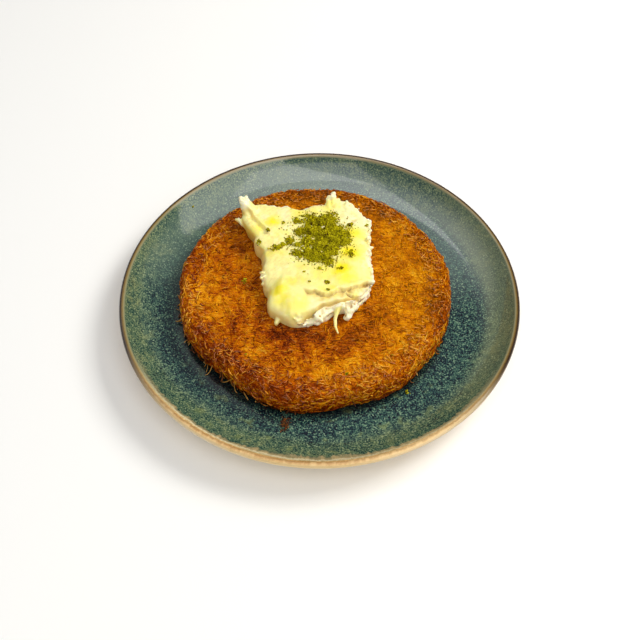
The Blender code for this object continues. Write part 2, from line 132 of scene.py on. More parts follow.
# The clotted cream: its outline in degrees and metres, and its hollow, folds, cracks and torn face
CREAM_MIDDLE = Vector((-0.008, 0.014))
CREAM_OUTLINE = (
    (0, 0.0385), (20, 0.0415), (43, 0.0515), (62, 0.056), (80, 0.0475), (95, 0.0425), (109, 0.048),
    (129, 0.059), (138, 0.0575), (152, 0.0382), (168, 0.0276), (184, 0.0262), (200, 0.0284),
    (222, 0.0318), (241, 0.042), (262, 0.0445), (280, 0.042), (296, 0.0388), (311, 0.0424), (327, 0.043),
    (342, 0.0418),
)
CREAM_HEIGHT = 0.0132
CREAM_SQUARENESS = 6.2
CREAM_SUNK = 0.0006
HOLLOW_DEPTH = 0.0016
HOLLOW_MIDDLE = Vector((-0.008, 0.028))
HOLLOW_HALF_WIDTH = 0.024
HOLLOW_HALF_DEPTH = 0.022
PLEAT_SLANT = 0.72
FLAP_PLACE = Vector((-0.0408, 0.047))
LEFT_DROP = 0.0034
LEFT_WIDTH = 0.0024
PILLOW_DROP = 0.0042
PILLOW_WIDTH = 0.015
WING_OVERHANG = 0.0062
CRACK_DEPTH = 0.0032
CRACK_SLOPE = 0.0019
BRANCH_START = Vector((0.0103, -0.0098))
BRANCH_SLANT = -0.4
GROOVE_DEPTH = 0.0022
RAGGED_CORNER = Vector((0.027, 0.052))
LEFT_KNOB = Vector((-0.033, 0.0015, 0.0305))
FOLD_MIDDLE = Vector((0.0044, -0.0156))
FOLD_STEEPNESS = 0.38
FOLD_SLANT = 0.076
FOLD_ROUNDING = 0.003
FOLD_START = -0.016
FOLD_FADE = 0.01
FOLD_STEP = 0.0012
FOLD_STEP_WIDTH = 0.004
TORN_MIDDLE = -0.0207
TORN_SLANT = 0.37
TORN_BEND = -2.2
TORN_DROP = 0.0055
TORN_WIDTH = 0.0046

# What stands out of the cream: x, y, z of its foot and of its tip, and their radii
CREAM_PEAKS = metres(8, (
    (-42.5, 52, 32, -49, 57, 41.8, 6.2, 1.5), (-42, 53, 32.5, -45.8, 57.6, 41, 4.5, 1.2),
    (-44, 45, 30, -52.6, 49.4, 30.8, 3.8, 0.7), (6.2, 57, 33, 6, 62.6, 37, 3, 1.3),
    (8.4, 57, 33, 8.8, 64.2, 38, 3, 1.4), (10, 56, 33, 12, 61.2, 36, 3.2, 1.1),
    (18, 55, 32.5, 17.2, 59.2, 36, 3.8, 1.2), (24, -4, 29.6, 32.4, -2.8, 32.6, 5, 0.9),
    (-28.5, 4.6, 30.4, -33, 5.6, 31.4, 3, 1), (-27.5, 1, 29.8, -33, 1.4, 30.6, 5.2, 2.2),
    (-28.5, -2.6, 29.4, -33.6, -2.8, 30, 3.4, 1.2), (12.2, -16.5, 30.6, 10.4, -21.2, 28.2, 2.7, 1.9),
    (10.4, -21.2, 28.2, 9.1, -25.6, 25.6, 1.9, 1.2), (9.1, -25.6, 25.6, 9.3, -30, 24.1, 1.2, 0.8),
    (9.3, -30, 24.1, 10.8, -34.5, 23.7, 0.8, 0.5), (19, -17, 27.5, 16, -23.6, 25.2, 3.2, 2.2),
    (-23, -23, 25.5, -25.2, -27.5, 24.2, 3, 1.3),
))

# Where details of the cream run, from and to, and the fade at both ends: in degrees, then in metres
WING_SPAN = (130.0, 150.0, 10.0)
CALM_SPAN = (150.0, 260.0, 10.0)
LEFT_SPAN = (158.0, 202.0, 16.0)
PILLOW_SPAN = (228.0, 268.0, 22.0)
DRIP_SPAN = (0.006, 0.0125, 0.001)
CRACK_SPAN = (-0.006, 0.03, 0.0055)
CRACK_LIP_SPAN = (-0.012, 0.031, 0.006)
BRANCH_SPAN = (0.0115, 0.019, 0.002)
GROOVE_SPAN = (-0.014, 0.027, 0.004)
FLAP_SPAN = (0.035, 0.049, 0.004)

# How the cream's skin is made
SKIN_VOXEL = 0.0005
TORN_RELIEF = 0.0013
CURD_SEED = 5

# Torn edges: from and to which angle, curds, their radii, insets and heights over the base
CURD_EDGES = (
    (-62, 70, 60, (0.0007, 0.0017), (0.0004, 0.003), (0.001, 0.009)),
    (-30, 80, 130, (0.0006, 0.0013), (0.0006, 0.0028), (0.005, 0.0122)),
    (262, 336, 70, (0.0008, 0.0022), (0.0006, 0.006), (0.0006, 0.007)),
    (199, 211, 14, (0.0008, 0.0015), (-0.0006, 0.003), (0.007, 0.0112)),
    (160, 258, 26, (0.0004, 0.0009), (0.0, 0.0007), (0.0006, 0.005)),
)

# Buttery spots on the cream: x, y and reach, and the amount
BUTTER_SPOTS = metres(3, (
    (-24, -11, 8.5, 1.0), (-21.5, -16.5, 8, 0.8), (-29.3, 43, 7, 1.0), (18, 18, 12, 1.0),
    (13, 4, 11, 1.0), (16, -2, 10, 0.8), (2, 2, 12, 0.5), (-12, -21.5, 9, 0.6), (-12, 51.4, 10, 0.6),
    (21, 34, 10, 0.9),
))

# Ground pistachio: the heap's outline, and the x, y and reach of the clumps in it
HEAP_MIDDLE = Vector((0.001, 0.029))
HEAP_OUTLINE = (
    (0, 0.016), (30, 0.0158), (53, 0.0158), (72, 0.0218), (95, 0.0215), (135, 0.0208), (165, 0.0175),
    (195, 0.018), (222, 0.0195), (250, 0.019), (278, 0.022), (305, 0.0163),
)
HEAP_LUMPS = metres(3, (
    (-13.8, 43.9, 2.6), (-7.6, 49, 1.6), (-3.3, 49.8, 1.4), (-5.1, 43.8, 4.3), (1.1, 42.1, 4.6),
    (6, 45.5, 4.3), (9.8, 49.8, 1.7), (7.8, 37, 4.6), (13.3, 32, 4.3), (15.6, 26.3, 3.2),
    (8.9, 27.1, 4.9), (1.6, 32.1, 5.3), (-6.3, 35.4, 4.6), (-12.4, 34.6, 3), (-18.4, 26.8, 2.5),
    (-13.5, 23.9, 2.2), (-7.5, 26.4, 3.9), (-0.2, 22.3, 4.9), (7, 19.8, 4.6), (-12.8, 16.7, 3.2),
    (-8, 18.3, 3.3), (-3.8, 15, 4.3), (3.4, 13.4, 4.6), (5.7, 8.7, 2.6),
))
HEAP_STEEPNESS = 0.72
HEAP_FEATHER = 0.0004
HEAP_GRAINS = 7800
LOOSE_GRAINS = 170
GRAIN_RADII = (0.00024, 0.00052)
LOOSE_RADII = (0.00016, 0.0005)
CRUMB_RADII = (0.00034, 0.0008)
PLATE_CRUMB_RADII = (0.0003, 0.0006)
GRAIN_SEED = 31

# Crumbs on the cream and on the crust: x, y and half widths, and how many grains
CREAM_CRUMBS = metres(4, (
    (-26.2, 21.2, 3, 1.8, 90), (-22.2, 23.8, 1.8, 1.4, 50), (-18.6, 28.3, 2, 2, 40),
    (-31.4, 35, 1.1, 1.4, 18), (-37, 26.5, 1.4, 2, 20), (-22.4, 41.7, 0.9, 0.9, 8), (-9, 48, 4, 1, 22),
    (4.5, -6, 1.8, 1.2, 22), (5.3, -11.9, 0.6, 0.6, 3), (19, 39, 2.4, 2.4, 30), (19, 16, 2.2, 3, 30),
    (12.5, 5, 2, 1.6, 12), (-8.9, 2.2, 0.7, 0.7, 3), (0.3, 4.4, 1.2, 1, 10), (29.8, 41, 1.2, 1.2, 6),
    (-5.8, -5.8, 0.6, 0.6, 3),
))
CRUST_CRUMBS = metres(4, (
    (-45.4, 6.4, 1.4, 1.6, 16), (15.3, -62.2, 1.2, 1, 8), (41.7, -49.3, 1, 0.8, 7),
    (-42, -48, 0.6, 0.6, 3),
))

# Crumbs on the plate: x, y and z, and how many grains
PLATE_CRUMBS = metres(3, (
    (50.6, -64, 7, 9), (-83.9, 74.4, 16.6, 5),
))

# The camera, fitted to the plate's and the pastry's outlines
CAMERA_DISTANCE = 0.56
CAMERA_ELEVATION_DEG = 52.3
CAMERA_TILT_DEG = -0.55
CAMERA_PAN_DEG = 0.03
LENS_MM = 50.6
SENSOR_MM = 36.0

# Lights, each seen from the plate at an azimuth and elevation in degrees
WINDOW_LOW = (-8.0, 12.0)
WINDOW_HIGH = (66.0, 61.5)
WINDOW_DISTANCE = 1.4
WINDOW_SIZE = (2.7, 4.2)
WINDOW_SHIFT = 0.8
WINDOW_ASIDE = 0.1
WINDOW_BRIGHTNESS = 3.0
WARM_WHITE = (1.0, 0.99, 0.96)
LIGHT_DISTANCE = 1.6
SKY_BRIGHTNESS = 0.36
FLOOR_HALF_WIDTH = 3.0
FLOOR_COLOUR = (0.93, 0.93, 0.92, 1.0)


class Wire:
    """A socket of a finish. Arithmetic on it adds the Math nodes that work it out."""

    def __init__(self, finish, socket):
        self.finish = finish
        self.socket = socket

    def __add__(self, other):
        return self.finish.math("ADD", self, other)

    def __sub__(self, other):
        return self.finish.math("SUBTRACT", self, other)

    def __rsub__(self, other):
        return self.finish.math("SUBTRACT", other, self)

    def __mul__(self, other):
        return self.finish.math("MULTIPLY", self, other)

    def __truediv__(self, other):
        return self.finish.math("DIVIDE", self, other)

    def __pow__(self, other):
        return self.finish.math("POWER", self, other)

    __radd__ = __add__
    __rmul__ = __mul__


class Finish:
    """A material made of nodes around its Principled shader. Its colours are 0 to 255, as on a screen."""

    def __init__(self, name, constants):
        self.material = bpy.data.materials.new(name)
        self.material.use_nodes = True
        self.tree = self.material.node_tree
        self.shader = self.tree.nodes["Principled BSDF"]
        for socket, value in constants.items():
            self.shader.inputs[socket].default_value = value

    def node(self, kind, settings=None, sockets=None, out=0):
        """A node of this kind, its settings made first, then its sockets' values or links."""
        made = self.tree.nodes.new("ShaderNode" + kind)
        for key, value in (settings or {}).items():
            if key == "stops":
                self.lay_stops(made.color_ramp, value)
            else:
                setattr(made, key, value)
        for key, value in (sockets or {}).items():
            self.join(made.inputs[key], value)
        return Wire(self, made.outputs[out])

    def lay_stops(self, ramp, stops):
        for position, colour in stops[2:]:
            ramp.elements.new(position)
        for element, (position, colour) in zip(ramp.elements, stops):
            element.position = position
            element.color = shade(colour)

    def join(self, socket, value):
        if isinstance(value, Wire):
            self.tree.links.new(value.socket, socket)
        elif isinstance(value, tuple) and socket.type == "RGBA":
            socket.default_value = shade(value)
        else:
            socket.default_value = value

    def feed(self, socket, value):
        self.join(self.shader.inputs[socket], value)

    def math(self, operation, *values):
        return self.node("Math", {"operation": operation}, dict(enumerate(values)))

    def place(self):
        return self.node("TexCoord", out="Object")

    def axes(self, place):
        split = self.node("SeparateXYZ", None, {0: place}).socket.node
        return [Wire(self, socket) for socket in split.outputs]

    def vector(self, x, y, z):
        return self.node("CombineXYZ", None, {0: x, 1: y, 2: z})

    def attribute(self, name):
        return self.node("Attribute", {"attribute_name": name}, out="Fac")

    def noise(self, place, size, detail=2.0, roughness=0.5):
        """Noise of about 0 to 1 with features of this size in metres."""
        return self.node(
            "TexNoise", None, {"Vector": place, "Scale": 1 / size, "Detail": detail, "Roughness": roughness}
        )

    def ease(self, value, low, high):
        """Rises smoothly from 0 to 1 as the value goes from low to high, which may be below low."""
        return self.node(
            "MapRange", {"interpolation_type": "SMOOTHSTEP"},
            {"Value": value, "From Min": low, "From Max": high, "To Min": 0.0, "To Max": 1.0},
        )

    def ramp(self, value, *stops):
        return self.node("ValToRGB", {"stops": stops}, {"Fac": value})

    def mix(self, share, first, second):
        return self.node("Mix", {"data_type": "RGBA"}, {0: share, 6: first, 7: second}, out=2)

    def over(self, colour, *layers):
        """The colour with layers over it, each a share and a tint."""
        for share, tint in layers:
            colour = self.mix(share, colour, tint)
        return colour

    def distance(self, x, y, spot):
        """How far a place lies from the upright line through this spot."""
        from_x = x - float(spot[0])
        from_y = y - float(spot[1])
        return (from_x * from_x + from_y * from_y) ** 0.5

    def bump(self, height, distance, strength=1.0):
        return self.node("Bump", None, {"Height": height, "Distance": distance, "Strength": strength})


def shade(colour):
    """A colour for a socket, from its 0 to 255 values on a screen."""
    parts = [part / 255 for part in colour]
    return (*(part / 12.92 if part <= 0.04045 else ((part + 0.055) / 1.055) ** 2.4 for part in parts), 1.0)


def turn(angle_deg, radius):
    angle = math.radians(angle_deg)
    return Vector((radius * math.cos(angle), radius * math.sin(angle)))


def step_up(value):
    """Rises smoothly from 0 to 1 as the value does, and stays there."""
    held = max(0.0, min(1.0, value))
    return held * held * (3 - 2 * held)


def add_object(name, data):
    thing = bpy.data.objects.new(name, data)
    bpy.context.scene.collection.objects.link(thing)
    return thing


def object_from(name, mesh_maker):
    """An object whose mesh is what the maker leaves in a bmesh."""
    form = bmesh.new()
    mesh_maker(form)
    mesh = bpy.data.meshes.new(name)
    form.to_mesh(mesh)
    form.free()
    return add_object(name, mesh)


def apply_modifiers(thing):
    graph = bpy.context.evaluated_depsgraph_get()
    graph.update()
    mesh = bpy.data.meshes.new_from_object(thing.evaluated_get(graph))
    thing.modifiers.clear()
    thing.data = mesh


def dress(thing, finish, slot, *nodes):
    """Gives the piece its finish, smooth shading and body, and hides the nodes that it stands for. The slot
    is not used.
    """
    thing.data.materials.clear()
    thing.data.materials.append(finish)
    thing.data.shade_smooth()
    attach(thing, BODY)
    if nodes:
        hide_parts(*nodes)


def power_curve(start, end, power, count):
    """Points after start up to end, level at the start and steeper towards the end."""
    shares = [step / count for step in range(1, count + 1)]
    return [
        (start[0] + (end[0] - start[0]) * share, start[1] + (end[1] - start[1]) * share ** power)
        for share in shares
    ]


def plate_section():
    """The section from the middle of the well, over the lip and back under the plate to its middle."""
    lip_centre = Vector((PLATE_RADIUS - LIP_RADIUS, PLATE_HEIGHT - LIP_RADIUS))
    well_edge = (WELL_RADIUS, WELL_HEIGHT)
    inner_end = lip_centre + turn(LIP_INNER_DEG, LIP_RADIUS)
    outer_end = lip_centre + turn(LIP_OUTER_DEG, LIP_RADIUS)
    underside_edge = (UNDERSIDE_RADIUS, UNDERSIDE_HEIGHT)
    lip_steps = 16
    lip = [
        lip_centre + turn(LIP_INNER_DEG + (LIP_OUTER_DEG - LIP_INNER_DEG) * step / lip_steps, LIP_RADIUS)
        for step in range(1, lip_steps)
    ]
    well = [(WELL_RADIUS * share, WELL_HEIGHT) for share in (0.0, 0.35, 0.7, 0.9)]
    wall = power_curve(well_edge, inner_end, WALL_POWER, 32)
    outer_wall = power_curve(underside_edge, outer_end, OUTER_POWER, 14)
    foot = [
        (FOOT_OUTER_RADIUS + FOOT_EDGE, UNDERSIDE_HEIGHT),
        (FOOT_OUTER_RADIUS, FOOT_EDGE),
        (FOOT_OUTER_RADIUS - FOOT_EDGE, 0.0),
        (FOOT_INNER_RADIUS + FOOT_EDGE, 0.0),
        (FOOT_INNER_RADIUS, FOOT_EDGE),
        (FOOT_INNER_RADIUS - FOOT_EDGE, UNDERSIDE_HEIGHT),
    ]
    inside = [*well, well_edge, *wall, *lip]
    return [*inside, *reversed(outer_wall), underside_edge, *foot, (0.0, UNDERSIDE_HEIGHT)]


def make_plate():
    section = [Vector(point) for point in plate_section()]
    crest = max(range(len(section)), key=lambda index: section[index].y)
    steps = [(second - first).length for first, second in zip(section, section[1:])]
    travel = np.concatenate(([0.0], np.cumsum(steps)))
    travel -= travel[crest]

    def turned(form):
        along = form.verts.layers.float.new("travel")
        corners = []
        for point, distance in zip(section, travel):
            corner = form.verts.new((point.x, 0.0, point.y))
            corner[along] = distance
            corners.append(corner)
        edges = [form.edges.new(pair) for pair in zip(corners, corners[1:])]
        bmesh.ops.spin(
            form, geom=[*corners, *edges], cent=(0, 0, 0), axis=(0, 0, 1), dvec=(0, 0, 0),
            angle=2 * math.pi, steps=PLATE_STEPS, use_merge=True, use_duplicate=False,
        )
        bmesh.ops.remove_doubles(form, verts=form.verts, dist=0.00001)
        bmesh.ops.recalc_face_normals(form, faces=form.faces)

    plate = object_from("glazed_plate", turned)
    dress(plate, glaze_finish(), "stoneware", "plate")


def lip_ramp(glaze, travel, *stops):
    """Colours at these travels in millimetres, from 16 inside the lip's crest to 4 past it."""
    return glaze.ramp((travel + 0.016) / 0.02, *(((mark + 16) / 20, colour) for mark, colour in stops))


def glaze_finish():
    """A blue-green glaze that breaks to tan and brown at the lip, over bare clay outside, with painted
    light.
    """
    glaze = Finish("reactive_glaze", {"Specular IOR Level": 0.5, "IOR": 1.5})
    place = glaze.place()
    x, y, _ = glaze.axes(place)
    radius = (x * x + y * y) ** 0.5
    across = x / radius
    travel = glaze.attribute("travel")
    spoke = glaze.vector(across * 0.1, y / radius * 0.1, radius * 0.3)
    streak = glaze.noise(spoke, 0.0024, 3.0, 0.6)
    cloud = glaze.noise(place, 0.016, 3.0, 0.55)
    blot = glaze.noise(place, 0.003, 2.0, 0.6)
    grain = glaze.noise(place, 0.0009, 2.0, 0.65)
    front = glaze.ease(0 - (y + x * 0.05) / radius, 0.38, 0.9)

    outward = radius + (cloud - 0.5) * 0.014 + (streak - 0.5) * 0.006 + front * 0.006
    tone = (grain - 0.5) * 3.3 + (blot - 0.5) * 0.9 + (streak - 0.5) * 0.6 + (cloud - 0.5) * 0.4 + 0.48
    well_colour = glaze.ramp(
        tone, (0.1, (0, 8, 26)), (0.32, (10, 36, 50)), (0.5, (34, 66, 64)), (0.7, (60, 94, 82)),
        (0.95, (96, 130, 104)),
    )
    wall_colour = glaze.ramp(
        tone, (0.1, (26, 56, 54)), (0.32, (58, 88, 76)), (0.5, (82, 106, 82)), (0.7, (102, 122, 88)),
        (0.95, (138, 150, 108)),
    )
    olive = glaze.ease(blot * 0.45 + cloud * 0.55, 0.5, 0.66) * glaze.ease(radius, 0.094, 0.106)
    pooled = glaze.ease(glaze.noise(place, 0.008, 1.0, 0.5), 0.62, 0.72) * glaze.ease(radius, 0.112, 0.104)
    # Painted reflections: a pale haze on the back right wall and a duller sheen on the back left wall.
    painted_haze = glaze.ease((x * 0.55 + y * 0.83) / radius, 0.45, 0.92) * glaze.ease(radius, 0.118, 0.106)
    painted_sheen = glaze.ease((y * 0.8 - x * 0.6) / radius, 0.6, 0.86) * glaze.ease(radius, 0.118, 0.11)
    pale = glaze.ease(across, 0.62, 0.96) * glaze.ease(radius, 0.099, 0.106)
    # Painted glints: rare pale specks. Painted shade: the left of the well is darker.
    glint = glaze.ease(glaze.noise(place, 0.0009, 1.0, 0.4), 0.64, 0.74)
    shaded = glaze.ease(0 - across, 0.1, 0.9) * glaze.ease(radius, 0.104, 0.09)
    # Painted contact shadow: a near-black ring on the glaze round the pastry's foot, at the front and left.
    near = glaze.distance(x, y, KUNAFA_CENTRE) + (cloud - 0.5) * 0.004
    painted_contact_shadow = glaze.ease(near, 0.088, 0.083) * glaze.ease(y + x, 0.06, 0.0)
    colour = glaze.over(
        glaze.mix(glaze.ease(outward, 0.0965, 0.112), well_colour, wall_colour),
        (olive * 0.32, (126, 126, 78)), (pooled * 0.32 * front, (136, 148, 84)),
        (painted_haze * 0.4, (128, 144, 142)), (painted_sheen * 0.48, (96, 116, 104)), (pale * 0.4, (140, 150, 116)),
        (glint * 0.42, (180, 194, 162)), (shaded * 0.2, (16, 34, 44)), (painted_contact_shadow * 0.85, (5, 9, 14)),
    )

    ragged = (streak - 0.5) * (front * 0.008 + 0.001) + (cloud - 0.5) * front * 0.006
    ragged = ragged + (grain - 0.5) * (front * 0.0024 + 0.0016)
    ragged = ragged * (glaze.ease(travel, 0.0004, -0.005) * 0.78 + 0.22)
    behind = glaze.ease(y / radius, 0.3, 0.9)
    side_edge = (travel + ragged + behind * 0.0007) * (across * 0.06 + 0.98)
    # Away from the front, the brown break at the crest is the glaze's own; the near-black band past it is
    # painted shade on the lip's outer side.
    side_lip_with_shade = lip_ramp(
        glaze, side_edge, (-2.0, (112, 124, 94)), (-1.2, (144, 136, 100)), (-0.6, (138, 118, 68)),
        (-0.1, (106, 80, 30)), (0.4, (56, 36, 8)), (1.2, (38, 22, 4)), (2.8, (84, 60, 24)),
        (3.4, (206, 176, 134)),
    )
    narrow = glaze.ease(across, 0.1, 0.65) + glaze.ease(across, -0.2, -0.7) * 0.7
    front_edge = (travel + ragged) * (narrow + 1.0)
    # At the front, the pale band inside the crest is a painted highlight; the brown line and the tan clay
    # past it are the plate's own.
    front_lip_with_highlight = lip_ramp(
        glaze, front_edge, (-13.0, (104, 108, 82)), (-11.4, (152, 142, 104)), (-9.6, (158, 140, 98)),
        (-8.2, (214, 188, 138)), (-6.8, (255, 240, 200)), (-3.6, (255, 232, 176)), (-2.0, (218, 172, 108)),
        (-0.6, (152, 112, 58)), (0.4, (190, 146, 82)), (1.2, (220, 184, 122)), (2.4, (228, 200, 146)),
        (3.8, (228, 208, 170)),
    )
    worn = glaze.ease(across, 0.0, 0.5) * 0.3 + glaze.ease(streak, 0.46, 0.62) * 0.35
    breaking = glaze.ease(front_edge, -0.0104, -0.008) * glaze.ease(front_edge, 0.0, -0.004)
    breaking = breaking * glaze.ease(grain, 0.56, 0.64) * 0.6
    front_lip_with_highlight = glaze.over(front_lip_with_highlight, (worn, (222, 190, 134)), (breaking, (118, 84, 42)))
    at_side = glaze.mix(glaze.ease(side_edge, -0.0026, -0.0016), colour, side_lip_with_shade)
    at_front = glaze.mix(glaze.ease(front_edge, -0.0144, -0.0122), colour, front_lip_with_highlight)
    glaze.feed("Base Color", glaze.mix(front, at_side, at_front))

    bare = glaze.ease(travel, 0.0038 - front * 0.005, 0.005 - front * 0.005)
    glaze.feed("Roughness", bare * 0.45 + grain * 0.08 + 0.05)
    glaze.feed("Normal", glaze.bump(cloud * 0.8 + blot * 0.12 + grain * 0.06, 0.0003, 0.6))
    return glaze.material


def crust_profile(travel):
    """Distance from the middle, height over the base and outward slope, at these travels over the crust."""
    on_edge = np.clip((travel - TOP_REACH) / TOP_EDGE_RADIUS, 0.0, math.pi / 2)
    down = np.clip((travel - EDGE_REACH) / (SIDE_REACH - EDGE_REACH), 0.0, 1.0)
    radius = np.minimum(travel, TOP_REACH) + TOP_EDGE_RADIUS * np.sin(on_edge) + FOOT_SPREAD * down ** 3
    height = KUNAFA_THICKNESS - TOP_EDGE_RADIUS * (1 - np.cos(on_edge))
    height -= (SIDE_REACH - EDGE_REACH) * down
    return radius, height, on_edge


def outline_change(angle):
    """How far the disc's edge stands out from a true circle at these angles in radians."""
    marks = np.radians(np.arange(0.0, 361.0, 1.0))
    waves = [
        OUTLINE_WAVE * noise(Vector((WAVES_AROUND * math.cos(mark), WAVES_AROUND * math.sin(mark), 0.0)))
        for mark in marks
    ]
    off = (np.degrees(angle) - DENT_DEG + 180.0) % 360.0 - 180.0
    dent = DENT_DEPTH * np.exp(-((off / DENT_WIDTH_DEG) ** 2))
    return np.interp(angle % (2 * math.pi), marks, waves) - dent


def angle_about(middle, place):
    """The angle of this place about the middle, from 0 to 360 degrees."""
    away = Vector(place[:2]) - middle
    return math.degrees(math.atan2(away.y, away.x)) % 360.0


def ring_radius(outline, middle, place):
    """The radius of a closed outline about its middle, towards this place."""
    angle = angle_about(middle, place)
    closed = (*outline, (360, outline[0][1]))
    for (low, first), (high, second) in zip(closed, closed[1:]):
        if angle <= high:
            share = (angle - low) / (high - low)
            return first + (second - first) * share * share * (3 - 2 * share)
    return outline[0][1]


def past_cream(place):
    """How far this place lies outside the cream's outline."""
    return (Vector(place[:2]) - CREAM_MIDDLE).length - ring_radius(CREAM_OUTLINE, CREAM_MIDDLE, place)


def crag(place):
    """The relief of the crust here: the clumps of the solid, and finer tufts on them."""
    spot = Vector(place)
    share = step_up((past_cream(spot) - 0.001) / 0.003)
    rough = noise(spot / CRAG_SIZE) + 0.5 * noise(spot / CRAG_SIZE * 2.1)
    return CRAG_HEIGHT * share * (rough - 0.25)


def ways(angle):
    """Level steps of length 1 at these angles in radians."""
    return np.stack((np.cos(angle), np.sin(angle)), axis=-1)


def on_crust(flat):
    """Places on the crust and its outward normals, for points of the crust laid out flat."""
    travel = np.hypot(flat[..., 0], flat[..., 1])
    angle = np.arctan2(flat[..., 1], flat[..., 0])
    radius, height, lean = crust_profile(travel)
    radius = radius + outline_change(angle) * (radius / KUNAFA_RADIUS) ** 4
    out = ways(angle)
    level = KUNAFA_CENTRE + out * radius[..., None]
    place = np.concatenate((level, (KUNAFA_BASE + height)[..., None]), axis=-1)
    normal = np.concatenate((out * np.sin(lean)[..., None], np.cos(lean)[..., None]), axis=-1)
    relief = np.array([crag(spot) for spot in place.reshape(-1, 3)]).reshape(travel.shape)
    relief *= np.clip((SIDE_REACH - travel) / 0.002, 0.0, 1.0)
    return place + normal * relief[..., None], normal


def make_core():
    """The pressed body of the pastry, just below its outer strands."""
    def pressed_disc(form):
        bmesh.ops.create_grid(form, x_segments=CORE_GRID, y_segments=CORE_GRID, size=1.0)
        square = np.array([vert.co for vert in form.verts])
        u, v = square[:, 0], square[:, 1]
        flat = np.stack((u * np.sqrt(1 - v * v / 2), v * np.sqrt(1 - u * u / 2)), axis=1) * SIDE_REACH
        place, normal = on_crust(flat)
        for vert, spot, way in zip(form.verts, place, normal):
            vert.co = spot - way * CORE_SUNK
        for vert in form.verts:
            if vert.is_boundary:
                vert.co.z = KUNAFA_BASE
        bmesh.ops.holes_fill(form, edges=[edge for edge in form.edges if edge.is_boundary], sides=0)
        bmesh.ops.recalc_face_normals(form, faces=form.faces)

    core = object_from("pastry_core", pressed_disc)
    dress(core, pastry_finish("matted_pastry", 0.14, DULL_SHINE, False), "pastry", "kunafa")
    return core


def corners_and_triangles(form):
    """What a bmesh of triangles holds, as arrays. The bmesh is freed."""
    corners = np.array([vert.co for vert in form.verts])
    faces = np.array([[vert.index for vert in face.verts] for face in form.faces])
    form.free()
    return corners, faces


def strand_template():
    """A straight strand along Z: its corners, triangles, and the ring that each corner is on."""
    form = bmesh.new()
    bmesh.ops.create_cone(form, cap_ends=True, segments=STRAND_SIDES, radius1=1, radius2=1, depth=1)
    sides = [edge for edge in form.edges if abs(edge.verts[0].co.z - edge.verts[1].co.z) > 0.5]
    bmesh.ops.subdivide_edges(form, edges=sides, cuts=STRAND_RINGS - 2)
    bmesh.ops.triangulate(form, faces=form.faces)
    bmesh.ops.recalc_face_normals(form, faces=form.faces)
    corners, faces = corners_and_triangles(form)
    rings = np.rint((corners[:, 2] + 0.5) * (STRAND_RINGS - 1)).astype(int)
    return corners, faces, rings


def mesh_of_copies(name, places, faces, values):
    """One object of many copies: each copy's corners, the copies' triangles, and each copy's values."""
    count, corners, _ = places.shape
    whole = (faces[None] + (np.arange(count) * corners)[:, None, None]).reshape(-1, 3)
    mesh = bpy.data.meshes.new(name)
    mesh.vertices.add(count * corners)
    mesh.vertices.foreach_set("co", places.astype(np.float32).ravel())
    mesh.loops.add(whole.size)
    mesh.loops.foreach_set("vertex_index", whole.astype(np.int32).ravel())
    mesh.polygons.add(len(whole))
    mesh.polygons.foreach_set("loop_start", np.arange(0, whole.size, 3, dtype=np.int32))
    mesh.update(calc_edges=True)
    for key, value in values.items():
        layer = mesh.attributes.new(key, "FLOAT", "POINT")
        layer.data.foreach_set("value", np.repeat(value, corners).astype(np.float32))
    return add_object(name, mesh)


def strand_mesh(name, paths, normals, radii, values):
    """Strands along these paths, with their flat sides to these normals."""
    corners, faces, rings = strand_template()
    ahead = np.gradient(paths, axis=1)
    ahead /= np.linalg.norm(ahead, axis=2, keepdims=True)
    across = np.cross(ahead, normals)
    across /= np.linalg.norm(across, axis=2, keepdims=True)
    up = np.cross(across, ahead)
    taper = np.ones(STRAND_RINGS)
    taper[[0, -1]] = STRAND_TIP
    wide = corners[:, 0] * taper[rings]
    tall = corners[:, 1] * taper[rings]
    offset = wide[None, :, None] * across[:, rings] + tall[None, :, None] * up[:, rings]
    return mesh_of_copies(name, paths[:, rings] + offset * radii[:, None, None], faces, values)


def laid_strands(rng, middles, headings, lengths, bends, depth, lift):
    """Paths that lie on the crust through these middles, and the crust's normals along them."""
    along = np.linspace(-0.5, 0.5, STRAND_RINGS)
    angle = headings[:, None] + bends[:, None] * along * 2
    flat = np.cumsum(ways(angle) * (lengths / (STRAND_RINGS - 1))[:, None, None], axis=1)
    flat += middles[:, None, :] - flat.mean(axis=1, keepdims=True)
    travel = np.linalg.norm(flat, axis=2, keepdims=True)
    flat *= np.minimum(1.0, (SIDE_REACH - 0.0008) / travel)
    place, normal = on_crust(flat)
    wave = rng.uniform(-1.0, 1.0, (len(middles), 2))
    arch = 1 - (2 * along[None]) ** 2
    rise = depth[:, None] + lift[:, None] * (wave[:, :1] * 2 * along[None] + wave[:, 1:] * arch)
    return place + normal * rise[..., None], normal


def crust_spots(rng, count, inner, outer):
    """Even random spots on the crust between two travels, laid out flat and clear of the cream."""
    marks = np.linspace(inner, outer, 200)
    area = np.cumsum(crust_profile(marks)[0])
    travel = np.interp(rng.random(count) * area[-1], area, marks)
    angle = rng.uniform(0, 2 * math.pi, count)
    place = KUNAFA_CENTRE + ways(angle) * crust_profile(travel)[0][:, None]
    clear = [past_cream((*spot, 0.0)) > -HIDDEN_UNDER_CREAM for spot in place]
    return (ways(angle) * travel[:, None])[clear], angle[clear]


